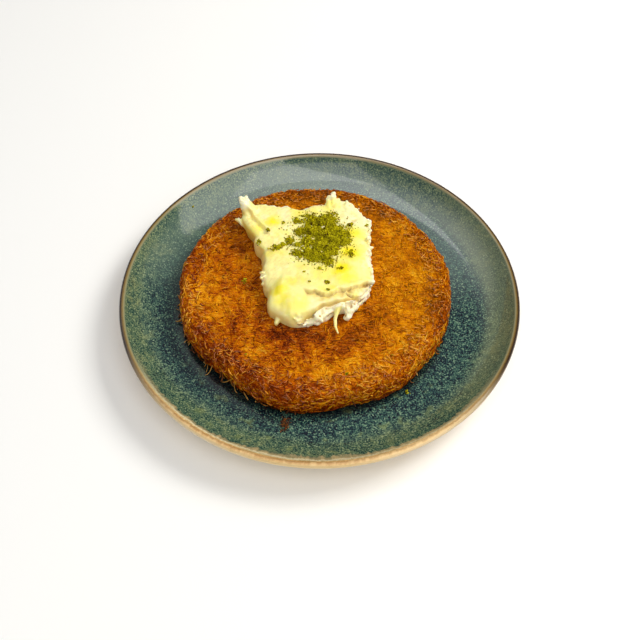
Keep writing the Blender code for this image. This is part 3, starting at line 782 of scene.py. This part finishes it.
def make_crust(name, finish, seed, count, travels, lengths, radii, around, depths, lifts, tints):
    """Strands over one band of the crust. The share around of them runs around the disc."""
    rng = np.random.default_rng(seed)
    flat, angle = crust_spots(rng, count, *travels)
    count = len(flat)
    ring_way = angle + math.pi / 2 + rng.normal(0.0, 0.3, count)
    headings = np.where(rng.random(count) < around, ring_way, rng.uniform(0, math.pi, count))
    bends = rng.normal(0.0, 0.45, count)
    long = rng.uniform(*lengths, count)
    depth = rng.uniform(*depths, count)
    lift = rng.uniform(*lifts, count)
    paths, normals = laid_strands(rng, flat, headings, long, bends, depth, lift)
    strands = strand_mesh(
        name, paths, normals, rng.uniform(*radii, count), {"tint": rng.uniform(*tints, count)}
    )
    dress(strands, finish, "pastry")


def fibres(finish, place, angle_deg):
    """Fine lines that run one way in the crust's own colour."""
    laid = finish.node("Mapping", None, {
        "Vector": place, "Rotation": (0.0, 0.0, math.radians(angle_deg)), "Scale": (190.0, 1300.0, 900.0),
    })
    return finish.node("TexNoise", None, {"Vector": laid, "Scale": 1.0, "Detail": 1.0, "Distortion": 0.6})


def pastry_finish(name, shine, shine_colour, strands):
    """Browned pastry: golden where it is thin, red-brown in patches and towards the rim, with painted shade
    at its foot.
    """
    pastry = Finish(name, {"Specular IOR Level": shine, "Specular Tint": (*shine_colour, 1.0)})
    place = pastry.place()
    x, y, z = pastry.axes(place)
    patch = pastry.noise(place, 0.013, 2.0, 0.5)
    blotch = pastry.noise(place, 0.0048, 2.0, 0.6)
    fleck = pastry.noise(place, 0.0011, 2.0, 0.6)
    crevice = pastry.ease(pastry.noise(place, 0.0021, 3.0, 0.6), 0.41, 0.33)
    rim = pastry.ease(pastry.distance(x, y, KUNAFA_CENTRE), 0.068, 0.081)
    low = pastry.ease(z, KUNAFA_BASE + 0.01, KUNAFA_BASE)
    # Painted shade: the crust's lowest few millimetres are darkened as if in contact shadow.
    foot = pastry.ease(z, KUNAFA_BASE + 0.004, KUNAFA_BASE + 0.0004)
    tone = (patch - 0.5) * 0.85 + (blotch - 0.5) * 0.65 + 0.57
    tone = tone + (fleck - 0.5) * (rim * 0.5 + 0.5) - crevice * (rim * 0.26 + 0.26)
    if strands:
        tone = tone + (pastry.attribute("tint") - 0.5) * 0.62
    else:
        mat = pastry.math("MAXIMUM", fibres(pastry, place, 15), fibres(pastry, place, 78))
        mat = pastry.math("MAXIMUM", mat, fibres(pastry, place, 132))
        tone = tone + (mat - 0.6) * 1.9
    for *spot, reach, change in BROWNING:
        tone = tone + pastry.ease(pastry.distance(x, y, spot), reach, 0.0) * change
    tone = tone + rim * (pastry.ease(y, -0.064, -0.03) * 0.06 + 0.03) - low * 0.08 - foot * 0.24
    colour = pastry.ramp(
        tone, (0.02, (46, 8, 0)), (0.22, (104, 30, 0)), (0.42, (164, 76, 0)),
        (0.6, (198, 114, 0)), (0.8, (226, 152, 4)), (1.0, (242, 184, 36)),
    )
    # Painted light, in part: the crust turns yellower towards the back right, where the light falls, and
    # redder towards the front left and the rim.
    back = pastry.ease(x + y, -0.07, 0.08)
    # Painted contact shadow: near black at the foot, stronger on the left.
    painted_foot_shadow = pastry.ease(z + (blotch - 0.5) * 0.005, KUNAFA_BASE + 0.0048, KUNAFA_BASE + 0.0012)
    painted_foot_shadow = painted_foot_shadow * (pastry.ease(x, 0.0, -0.03) * 0.52 + 0.42)
    pastry.feed("Base Color", pastry.over(
        colour, ((1 - back) * 0.1 + rim * 0.22, (172, 60, 0)),
        (back * (1 - rim * 0.6) * 0.26, (192, 132, 2)), (painted_foot_shadow, (30, 10, 0)),
    ))
    pastry.feed("Roughness", fleck * 0.3 + 0.08)
    if not strands:
        pastry.feed("Normal", pastry.bump(mat * 0.6 + fleck * 0.4, 0.0008, 0.8))
    return pastry.material


def stray_paths(rng):
    """Paths of the loose strands that curl out from the foot of the pastry over the plate."""
    paths = []
    for middle_deg, spread_deg, count, reach in STRAY_TUFTS:
        lean = rng.choice((-1.0, 1.0))
        for _ in range(count):
            side = lean if rng.random() < 0.7 else -lean
            angle = math.radians(middle_deg + rng.normal(0.0, spread_deg))
            start = on_crust(ways(angle)[None] * (SIDE_REACH - rng.uniform(0.0, 0.008)))[0][0]
            long = reach * rng.uniform(0.4, 1.5)
            way = angle + side * rng.uniform(0.2, 1.6)
            curl = side * rng.uniform(-2.8, 1.6)
            rest = WELL_HEIGHT + rng.uniform(OVER_PLATE, 0.0018)
            spot = start[:2].copy()
            path = []
            for ring in range(STRAND_RINGS):
                share = ring / (STRAND_RINGS - 1)
                path.append((*spot, start[2] + (rest - start[2]) * min(1.0, share * 1.6)))
                spot += ways(way + curl * share) * long / (STRAND_RINGS - 1)
            paths.append(path)
    return np.array(paths)


def stray_finish():
    """Strands that dried apart from the rest: pale and dull, and burnt where their tint is low."""
    stray = Finish("stray_strands", {"Specular IOR Level": 0.2, "Roughness": 0.5})
    stray.feed("Base Color", stray.ramp(
        stray.attribute("tint"), (0.0, (60, 20, 0)), (0.3, (116, 58, 6)), (0.6, (172, 112, 32)),
        (1.0, (214, 166, 92)),
    ))
    return stray.material


def make_strays():
    """Tufts at the foot of the pastry, and a browned tuft that fell onto the plate."""
    rng = np.random.default_rng(STRAY_SEED)
    loose = stray_paths(rng)
    fallen = rng.normal(0.0, 1.0, (FALLEN_STRANDS, 3)) * FALLEN_TUFT_SPREAD + FALLEN_TUFT
    headings = rng.normal(0.0, 1.0, (FALLEN_STRANDS, 3)) * (1.0, 1.0, 0.35)
    headings /= np.linalg.norm(headings, axis=1, keepdims=True)
    lengths = rng.uniform(*FALLEN_LENGTHS, (FALLEN_STRANDS, 1, 1))
    steps = np.linspace(-0.5, 0.5, STRAND_RINGS)[None, :, None] * lengths
    fallen = fallen[:, None, :] + steps * headings[:, None, :]
    fallen[:, :, 2] = np.maximum(fallen[:, :, 2], WELL_HEIGHT + OVER_PLATE)
    paths = np.concatenate((loose, fallen))
    normals = np.zeros_like(paths)
    normals[:, :, 2] = 1.0
    radii = [*rng.uniform(*STRAY_RADII, len(loose)), *rng.uniform(*FALLEN_RADII, FALLEN_STRANDS)]
    tints = [*rng.uniform(0.1, 1.0, len(loose)), *rng.uniform(-0.1, 0.5, FALLEN_STRANDS)]
    strands = strand_mesh("stray_strands", paths, normals, np.array(radii), {"tint": tints})
    dress(strands, stray_finish(), "pastry")


def make_pastry():
    core = make_core()
    dull = pastry_finish("pastry_strands", 0.12, DULL_SHINE, True)
    shiny = pastry_finish("syrupy_strands", 1.0, SYRUP_SHINE, True)
    side_end = SIDE_REACH - 0.0006
    # Name, finish, seed, count, travels, lengths, radii, share around the disc, depths, lifts and tints
    for band in (
        ("top_strands_low", dull, 21, 3200, (0.0, TOP_REACH), (0.004, 0.012), (0.00026, 0.00046), 0.1,
         (-0.0004, -0.0001), (0.0, 0.0002), (0.35, 0.7)),
        ("top_strands_high", dull, 22, 1900, (0.0, TOP_REACH), (0.003, 0.01), (0.0002, 0.00034), 0.1,
         (-0.0001, 0.0002), (0.0, 0.0005), (0.1, 1.0)),
        ("top_flecks", dull, 28, 620, (0.0, EDGE_REACH - 0.003), (0.0012, 0.0032), (0.00026, 0.00042), 0.1,
         (0.0, 0.0002), (0.0, 0.0002), (-0.45, -0.05)),
        ("edge_strands_low", dull, 23, 3200, (TOP_REACH - 0.004, EDGE_REACH), (0.004, 0.009),
         (0.0003, 0.0005), 0.35, (-0.0006, 0.0002), (0.0, 0.0004), (-0.2, 0.7)),
        ("edge_strands_high", shiny, 24, 1700, (TOP_REACH - 0.008, SIDE_REACH - 0.004), (0.0022, 0.006),
         (0.0003, 0.0005), 0.3, (0.0, 0.0009), (0.0, 0.0009), (-0.1, 1.1)),
        ("side_strands", dull, 25, 3200, (EDGE_REACH, side_end), (0.004, 0.01), (0.00032, 0.00054), 0.45,
         (-0.001, 0.0006), (0.0, 0.0009), (-0.4, 1.2)),
        ("top_shine", shiny, 26, 600, (0.0, TOP_REACH), (0.0015, 0.005), (0.00018, 0.0003), 0.1,
         (0.0001, 0.0004), (0.0, 0.0006), (0.5, 1.1)),
    ):
        make_crust(*band)
    make_strays()
    return core


def bell(value, width):
    """1 where the value is 0, and less the further it is from 0 for this width."""
    return math.exp(-((value / width) ** 2))


def level_noise(place, size, layer=0.0):
    """Noise of about -1 to 1 that is the same at every height."""
    return noise(Vector((place.x / size, place.y / size, layer)))


def cream_height(x, y):
    """The height of the cream's upper face over its base."""
    place = Vector((x, y, 0.0))
    hollow = HOLLOW_DEPTH * bell(x - HOLLOW_MIDDLE.x, HOLLOW_HALF_WIDTH)
    hollow *= bell(y - HOLLOW_MIDDLE.y, HOLLOW_HALF_DEPTH)
    inside = max(0.0, -past_cream(place))
    angle = angle_about(CREAM_MIDDLE, place)
    slope = LEFT_DROP * window(angle, *LEFT_SPAN) * max(0.0, 1 - inside / LEFT_WIDTH) ** 1.6
    slope += PILLOW_DROP * window(angle, *PILLOW_SPAN) * max(0.0, 1 - inside / PILLOW_WIDTH) ** 1.4
    folded = step_up((x - FOLD_START) / FOLD_FADE)
    step = FOLD_STEP * folded * step_up(past_fold(place) / FOLD_STEP_WIDTH)
    torn = TORN_DROP * step_up(past_torn(place) / TORN_WIDTH)
    return CREAM_HEIGHT - hollow - slope - step - torn


def cream_slab(form):
    """The folded slab: a ball drawn out to the outline, with steep sides and a shaped upper face."""
    bmesh.ops.create_icosphere(form, subdivisions=7, radius=1.0)
    for vert in form.verts:
        across = Vector((vert.co.x, vert.co.y))
        if across.length > 1e-6:
            across.normalize()
        reach = math.sqrt(max(0.0, 1.0 - vert.co.z ** 2))
        edge = ring_radius(CREAM_OUTLINE, CREAM_MIDDLE, CREAM_MIDDLE + across)
        rise = abs(vert.co.z) ** (2 / CREAM_SQUARENESS)
        lifted = window(angle_about(CREAM_MIDDLE, CREAM_MIDDLE + across), *WING_SPAN)
        edge -= WING_OVERHANG * lifted * (1 - rise if vert.co.z > 0 else 1)
        place = CREAM_MIDDLE + across * edge * reach ** (2 / CREAM_SQUARENESS)
        tall = cream_height(place.x, place.y) if vert.co.z > 0 else -CREAM_SUNK
        vert.co = (place.x, place.y, CREAM_BASE + tall * rise)


def add_taper(form, foot, tip, foot_radius, tip_radius):
    """A tapered finger with round ends, from foot to tip."""
    foot = Vector(foot)
    tip = Vector(tip)
    along = tip - foot
    facing = along.to_track_quat("Z", "Y").to_matrix().to_4x4()
    bmesh.ops.create_cone(
        form, cap_ends=True, segments=20, radius1=foot_radius, radius2=tip_radius, depth=along.length,
        matrix=Matrix.Translation((foot + tip) / 2) @ facing,
    )
    for place, radius in ((foot, foot_radius), (tip, tip_radius)):
        bmesh.ops.create_icosphere(form, subdivisions=3, radius=radius, matrix=Matrix.Translation(place))


def past_fold(place):
    """How far this place lies in front of the fold across the cream."""
    aside = place.x - FOLD_MIDDLE.x
    return FOLD_MIDDLE.y + FOLD_STEEPNESS * math.hypot(aside, FOLD_ROUNDING) + FOLD_SLANT * aside - place.y


def past_torn(place):
    """How far this place lies in front of the roll's torn lower edge."""
    return TORN_MIDDLE + TORN_SLANT * place.x + TORN_BEND * place.x ** 2 - place.y


def window(value, low, high, fade):
    """1 between low and high, fading to 0 outside them."""
    return step_up((value - low) / fade + 1) * step_up((high - value) / fade + 1)


def torn_share(place):
    """How torn the cream is here, from 0 on its smooth faces to 1 at its ragged edges."""
    inside = -past_cream(place)
    angle = angle_about(CREAM_MIDDLE, place)
    ragged = 1.0 - 0.85 * window(angle, *CALM_SPAN)
    wander = 0.0022 * noise(place / 0.0055)
    edge = step_up((0.003 + wander - inside) / 0.0026) * ragged
    under_fold = step_up((past_groove(place) + wander * 0.4) / 0.001)
    corner = step_up((0.02 - (Vector(place[:2]) - RAGGED_CORNER).length) / 0.01) * 0.5
    knob = step_up((0.0048 - (place - LEFT_KNOB).length) / 0.002) * 0.7
    drip = window(place.x, *DRIP_SPAN) * step_up(-place.y / 0.002)
    far_left = step_up((-0.038 - place.x) / 0.002)
    drawn_out = step_up((0.0004 - inside) / 0.0014) * 0.9 * max(drip, far_left)
    return min(1.0, max(edge, under_fold, corner, knob)) * (1 - drawn_out)


def torn_relief(place):
    """The relief of a torn face, below 0 in its hollows and above 0 on its flaky ridges."""
    layers = Vector((place.x / 0.0085, (place.y - 0.4 * place.x) / 0.0044, place.z / 0.0032))
    flakes = noise(place / 0.0026) * 0.7 + noise(place / 0.0012) * 0.26
    return 0.3 - 1.4 * abs(noise(layers)) + flakes


def soft_relief(place):
    """How far a smooth face stands out here."""
    drag = noise(Vector((place.x / 0.003, place.y / 0.012, 0.0)))
    return noise(place / 0.009) * 0.00055 + noise(place / 0.0034) * 0.00016 + drag * 0.00024


def past_groove(place):
    """How far this place lies in front of the groove under the roll, with the torn face before it."""
    return past_torn(place) - 0.001 - 0.3 * max(0.0, -place.x)


def cut_open(past):
    """How deep a cut is at this distance past it, from 0 to 1: sharp behind, and sloping in front."""
    return step_up(past / 0.0006 + 0.5) * math.exp(-max(0.0, past - 0.0005) / CRACK_SLOPE)


def crack_share(place):
    """How far into the forked crack across the cream this place lies, from 0 to 1."""
    wander = 0.0018 * level_noise(place, 0.0052) + 0.0006 * level_noise(place, 0.0018)
    uneven = 0.7 + 1.0 * abs(noise(place / 0.005))
    main = cut_open(past_fold(place) + wander) * window(place.x, *CRACK_SPAN)
    past_branch = BRANCH_START.y + BRANCH_SLANT * (place.x - BRANCH_START.x) - place.y
    branch = cut_open(past_branch + wander) * window(place.x, *BRANCH_SPAN)
    return min(1.0, uneven * max(main, branch * 0.8))


def groove_share(place):
    """How far into the groove over the torn face this place lies, from 0 to 1."""
    across = past_groove(place) + 0.001 * level_noise(place, 0.005, 6.0)
    return bell(across, 0.0008) * window(place.x, *GROOVE_SPAN)


def cut_detail(place):
    """How far the upper face drops here for the crack, the groove and the curled flap."""
    lip = 0.0006 * bell(past_fold(place) + 0.0016, 0.0013) * window(place.x, *CRACK_LIP_SPAN)
    flap_side = FLAP_PLACE.x + (FLAP_PLACE.y - place.y) * PLEAT_SLANT - place.x
    flap_side += 0.0016 * noise(Vector((place.y / 0.004, 0.0, 9.0)))
    flap_span = window(place.y, *FLAP_SPAN)
    flap = 0.0015 * step_up(flap_side / 0.0009) * step_up((0.005 - flap_side) / 0.004) * flap_span
    rim = 0.001 * bell(flap_side + 0.0009, 0.0009) * flap_span
    return CRACK_DEPTH * crack_share(place) + GROOVE_DEPTH * groove_share(place) - lip + flap - rim


def add_curds(form):
    """Tilted flat lumps that break up the torn edges before the skin closes over them."""
    rng = np.random.default_rng(CURD_SEED)
    for low, high, count, radii, insets, heights in CURD_EDGES:
        for _ in range(count):
            angle = rng.uniform(low, high)
            edge = ring_radius(CREAM_OUTLINE, CREAM_MIDDLE, CREAM_MIDDLE + turn(angle, 1.0))
            place = CREAM_MIDDLE + turn(angle, edge - rng.uniform(*insets))
            centre = Vector((place.x, place.y, CREAM_BASE + rng.uniform(*heights)))
            tilt = Matrix.Rotation(rng.uniform(0.0, math.pi), 4, Vector(rng.normal(0.0, 1.0, 3)))
            shape = tilt @ Matrix.Diagonal((*rng.uniform(0.4, 1.6, 3), 1.0))
            bmesh.ops.create_icosphere(
                form, subdivisions=2, radius=rng.uniform(*radii), matrix=Matrix.Translation(centre) @ shape
            )


def make_cream():
    def whole(form):
        cream_slab(form)
        for peak in CREAM_PEAKS:
            add_taper(form, peak[:3], peak[3:6], *peak[6:])
        add_curds(form)

    cream = object_from("clotted_cream", whole)
    one_skin = cream.modifiers.new("One skin", "REMESH")
    one_skin.mode = "VOXEL"
    one_skin.voxel_size = SKIN_VOXEL
    apply_modifiers(cream)
    form = bmesh.new()
    form.from_mesh(cream.data)
    bmesh.ops.smooth_vert(
        form, verts=form.verts, factor=0.5, use_axis_x=True, use_axis_y=True, use_axis_z=True
    )
    torn_layer = form.verts.layers.float.new("torn")
    hollow_shade_layer = form.verts.layers.float.new("hollow")
    steep_shade_layer = form.verts.layers.float.new("flank")
    for vert in form.verts:
        if vert.normal.z > 0.2 and vert.co.z > CREAM_BASE + 0.004:
            # The crack and the groove are cut here, and their painted shade is kept.
            vert[hollow_shade_layer] = max(crack_share(vert.co), groove_share(vert.co) * 0.8)
            vert.co.z -= cut_detail(vert.co)
    form.normal_update()
    moves = []
    for vert in form.verts:
        torn = torn_share(vert.co)
        lumps = torn_relief(vert.co)
        vert[torn_layer] = torn
        # Painted shade: on steep faces that are not torn, and in the hollows of the torn faces.
        vert[steep_shade_layer] = step_up((0.85 - vert.normal.z) / 0.6) * (1 - torn)
        vert[hollow_shade_layer] = max(vert[hollow_shade_layer], torn * step_up((-0.22 - lumps) / 0.55))
        moves.append(vert.normal * (lumps * TORN_RELIEF * torn + soft_relief(vert.co) * (1 - torn)))
    for vert, move in zip(form.verts, moves):
        vert.co += move
        vert.co.z = max(vert.co.z, CREAM_BASE - CREAM_SUNK)
    form.to_mesh(cream.data)
    form.free()
    dress(cream, cream_finish(), "clotted_cream", "cream")
    return cream


def cream_finish():
    """Pale yellow clotted cream with buttery patches, white where it is torn, with painted shade in hollows
    and on steep sides.
    """
    cream = Finish("clotted_cream", {
        "Specular IOR Level": 0.35, "Subsurface Weight": 0.45, "Subsurface Radius": (0.003, 0.0022, 0.001),
        "Subsurface Scale": 1.0,
    })
    place = cream.place()
    x, y, z = cream.axes(place)
    torn = cream.attribute("torn")
    cloud = cream.noise(place, 0.011, 3.0, 0.5)
    soft = cream.noise(place, 0.005, 3.0, 0.5)
    butter = cream.ease(cloud, 0.46, 0.72) * 0.55
    for *spot, reach, amount in BUTTER_SPOTS:
        distance = cream.distance(x, y, spot) + (soft - 0.5) * 0.008
        butter = cream.math("MAXIMUM", butter, cream.ease(distance, reach, reach * 0.15) * amount)
    pale = cream.ease(cream.noise(place, 0.008, 3.0, 0.6), 0.5, 0.7)
    mottle = cream.noise(place, 0.0026, 4.0, 0.65)
    drag = cream.noise(cream.vector(x * 0.35 + y * 0.35, y - x, z), 0.0022, 3.0, 0.6)
    dragged = cream.ease(drag, 0.46, 0.7) * cream.ease(x, 0.014, -0.02) * cream.ease(y, -0.012, -0.002)
    left_shade = cream.ease(x + y * 0.3, -0.018, -0.034)
    tip = cream.ease(z - x * 0.6, 0.064, 0.068)
    hollow = cream.attribute("hollow")
    cream.feed("Base Color", cream.over(
        cream.mix(pale * 0.55, (253, 240, 156), (254, 247, 204)), (butter, (255, 234, 14)),
        (cream.ease(mottle, 0.48, 0.74) * 0.34, (238, 214, 124)), (dragged * 0.42, (230, 204, 120)),
        # Painted shade on the steep sides, darker towards the left.
        (cream.attribute("flank") * 0.8, cream.mix(left_shade, (255, 238, 150), (224, 190, 74))),
        (cream.math("MAXIMUM", torn * cream.ease(soft, 0.05, 0.42), tip), (255, 246, 206)),
        # Painted shade in the crack, the groove and the torn hollows.
        (hollow * 0.85, (190, 148, 62)), (cream.ease(hollow, 0.6, 1.0) * 0.4, (132, 88, 24)),
    ))
    cream.feed("Roughness", torn * 0.25 + 0.34)
    cream.feed("Normal", cream.bump(cream.noise(place, 0.0008, 3.0, 0.6), 0.0002, 0.5))
    return cream.material


def height_on(thing, x, y):
    """The height of the upper face of thing at this place."""
    hit, place, _, _ = thing.ray_cast(Vector((x, y, ABOVE_ALL)), Vector((0, 0, -1)))
    return place.z if hit else None


def heap_rise(place):
    """How far the ground nuts rise over the cream here in metres, below 0 outside the heap."""
    x, y = place[:2]
    clumps = sum(
        reach * math.exp(-2 * ((x - middle_x) ** 2 + (y - middle_y) ** 2) / reach ** 2)
        for middle_x, middle_y, reach in HEAP_LUMPS
    )
    rough = noise(Vector((x, y, 0.003)) / 0.0034) * 0.0012
    rough += noise(Vector((x, y, 0.007)) / 0.0016) * 0.001
    return (clumps - HEAP_FEATHER) * HEAP_STEEPNESS + rough * min(1.0, clumps / 0.0015)


def make_heap(cream):
    """The body of the heap of ground pistachio, clumped and crumbly."""
    ground = height_on(cream, HEAP_MIDDLE.x, HEAP_MIDDLE.y)

    def mound(form):
        bmesh.ops.create_icosphere(form, subdivisions=6, radius=1.0)
        for vert in form.verts:
            way = vert.co.normalized()
            edge = ring_radius(HEAP_OUTLINE, HEAP_MIDDLE, HEAP_MIDDLE + way.xy) * 1.15
            place = HEAP_MIDDLE + way.xy * edge
            level = height_on(cream, place.x, place.y) or ground
            above = max(0.0, heap_rise(place)) - 0.0006 if way.z > 0 else -0.001
            vert.co = (place.x, place.y, level + above)

    heap = object_from("pistachio_heap", mound)
    dress(heap, nut_finish("pistachio_heap", False), "ground_pistachio", "pistachio")
    return heap


def nut_finish(name, grained):
    """Ground pistachio: olive green with yellower flesh and darker skins."""
    nut = Finish(name, {"Specular IOR Level": 0.06, "Roughness": 0.85})
    place = nut.place()
    shadow = nut.ease(nut.noise(place, 0.0032, 2.0, 0.6), 0.44, 0.34)
    tone = nut.noise(place, 0.001, 3.0, 0.7)
    if grained:
        tone = tone * 0.35 + nut.attribute("tint") * 0.65
    tone = tone - shadow * 0.18
    colour = nut.ramp(
        tone, (0.08, (60, 34, 0)), (0.24, (118, 106, 0)), (0.5, (166, 156, 2)),
        (0.76, (196, 184, 8)), (0.95, (226, 214, 52)),
    )
    nut.feed("Base Color", colour)
    nut.feed("Normal", nut.bump(nut.noise(place, 0.0007, 3.0, 0.7), 0.0005, 0.7))
    return nut.material


def heap_edge(angle_deg):
    return ring_radius(HEAP_OUTLINE, HEAP_MIDDLE, HEAP_MIDDLE + turn(angle_deg, 1.0))


def make_grains(cream, heap, core):
    """Loose grains on the heap, thinning out over the cream, and crumbs on the pastry and plate."""
    rng = np.random.default_rng(GRAIN_SEED)
    form = bmesh.new()
    bmesh.ops.create_icosphere(form, subdivisions=1, radius=1.0)
    corners, faces = corners_and_triangles(form)
    spots = []
    while len(spots) < HEAP_GRAINS:
        angle = rng.uniform(0, 360)
        spot = HEAP_MIDDLE + turn(angle, heap_edge(angle) * math.sqrt(rng.random()) * 1.25)
        rise = heap_rise(spot)
        if rise > rng.uniform(-0.0003, 0.0006):
            size = rng.uniform(*GRAIN_RADII) * (1.0 if rng.random() < 0.92 else 1.6)
            spots.append((spot, size, heap if rise > 0.0006 else cream))
    for _ in range(LOOSE_GRAINS):
        angle = rng.uniform(-110, 60) if rng.random() < 0.7 else rng.uniform(60, 250)
        spot = HEAP_MIDDLE + turn(angle, heap_edge(angle) + abs(rng.normal(0.0, 0.0045)))
        spots.append((spot, rng.uniform(*LOOSE_RADII), cream))
    for ground, clumps in ((cream, CREAM_CRUMBS), (core, CRUST_CRUMBS)):
        for x, y, wide, deep, count in clumps:
            for _ in range(count):
                spot = Vector((x + rng.normal(0, wide * 0.5), y + rng.normal(0, deep * 0.5)))
                spots.append((spot, rng.uniform(*CRUMB_RADII), ground))
    places = []
    for spot, size, ground in spots:
        level = height_on(ground, spot.x, spot.y)
        if level is None:
            continue
        place = np.array((spot.x, spot.y, level + size * rng.uniform(0.2, 0.9)))
        uneven = rng.uniform(0.6, 1.25, 3) * rng.uniform(0.75, 1.25, (len(corners), 1))
        places.append(place + corners * uneven * size)
    for *spot, count in PLATE_CRUMBS:
        for _ in range(count):
            place = np.array(spot) + rng.normal(0.0, 0.0007, 3) * (1.0, 1.0, 0.4)
            places.append(place + corners * rng.uniform(0.7, 1.2, 3) * rng.uniform(*PLATE_CRUMB_RADII))
    grains = mesh_of_copies("pistachio_grains", np.array(places), faces, {"tint": rng.random(len(places))})
    dress(grains, nut_finish("pistachio_grains", True), "ground_pistachio")


def make_floor():
    def sheet(form):
        bmesh.ops.create_grid(form, x_segments=1, y_segments=1, size=FLOOR_HALF_WIDTH)

    floor = object_from("floor", sheet)
    floor.data.materials.append(Finish("floor", {"Base Color": FLOOR_COLOUR, "Roughness": 0.9}).material)


def make_camera():
    elevation = math.radians(CAMERA_ELEVATION_DEG)
    eye = Vector((0, -CAMERA_DISTANCE * math.cos(elevation), CAMERA_DISTANCE * math.sin(elevation)))
    ahead = (-eye).normalized()
    up = Vector((1, 0, 0)).cross(ahead)
    aim = ahead + up * math.tan(math.radians(CAMERA_TILT_DEG))
    aim.x += math.tan(math.radians(CAMERA_PAN_DEG))
    camera = add_object("camera", bpy.data.cameras.new("camera"))
    camera.data.lens = LENS_MM
    camera.data.sensor_width = SENSOR_MM
    camera.data.clip_start = 0.01
    camera.location = eye
    camera.rotation_euler = aim.to_track_quat("-Z", "Y").to_euler()
    bpy.context.scene.camera = camera
    bpy.context.scene.view_settings.view_transform = "Standard"


def sky_way(way):
    """The direction at this azimuth and elevation in degrees."""
    azimuth, elevation = (math.radians(part) for part in way)
    level = math.cos(elevation)
    return Vector((level * math.cos(azimuth), level * math.sin(azimuth), math.sin(elevation)))


def make_light(name, place, facing, side, size, brightness, colour):
    """A soft box that shines along facing, its width along side where that is given."""
    light = add_object(name, bpy.data.lights.new(name, "AREA"))
    light.data.shape = "RECTANGLE"
    light.data.size, light.data.size_y = size
    light.data.energy = brightness * size[0] * size[1] * math.pi
    light.data.color = colour
    back = -facing.normalized()
    wide = side or Vector((0, 0, 1)).cross(back).normalized()
    turned = Matrix((wide, back.cross(wide), back)).transposed().to_4x4()
    light.matrix_world = Matrix.Translation(place) @ turned
    return light


def make_lights():
    """A window and a bright wall that the glaze mirrors, and soft boxes that light the food."""
    low = sky_way(WINDOW_LOW)
    high = sky_way(WINDOW_HIGH)
    facing = (high + low).normalized()
    along = (high - low).normalized()
    away = facing.cross(along)
    middle = facing * WINDOW_DISTANCE + away * (WINDOW_SIZE[0] / 2 + WINDOW_ASIDE) + along * WINDOW_SHIFT
    tall = make_light("window", middle, -facing, away, WINDOW_SIZE, WINDOW_BRIGHTNESS, WARM_WHITE)
    tall.visible_diffuse = False
    for name, way, size, brightness, spread_deg, colour, lights_food, is_mirrored in (
        ("bright_wall", (160.0, 53.0), (2.5, 2.5), 0.26, 76.0, WARM_WHITE, False, True),
        ("key", (24.0, 46.0), (0.8, 0.6), 12.2, 180.0, (1.0, 0.97, 0.91), True, False),
        ("fill", (-80.0, 60.0), (1.6, 1.2), 1.75, 180.0, (1.0, 1.0, 1.0), True, True),
    ):
        place = sky_way(way) * LIGHT_DISTANCE
        light = make_light(name, place, -place, None, size, brightness, colour)
        light.data.spread = math.radians(spread_deg)
        light.visible_diffuse = lights_food
        light.visible_glossy = is_mirrored


def make_sky():
    world = bpy.data.worlds.new("room")
    world.use_nodes = True
    background = world.node_tree.nodes["Background"]
    background.inputs["Color"].default_value = (1.0, 0.99, 0.97, 1.0)
    background.inputs["Strength"].default_value = SKY_BRIGHTNESS
    bpy.context.scene.world = world


make_camera()
make_lights()
make_sky()
make_floor()
make_plate()
core_piece = make_pastry()
cream_piece = make_cream()
heap_piece = make_heap(cream_piece)
make_grains(cream_piece, heap_piece, core_piece)
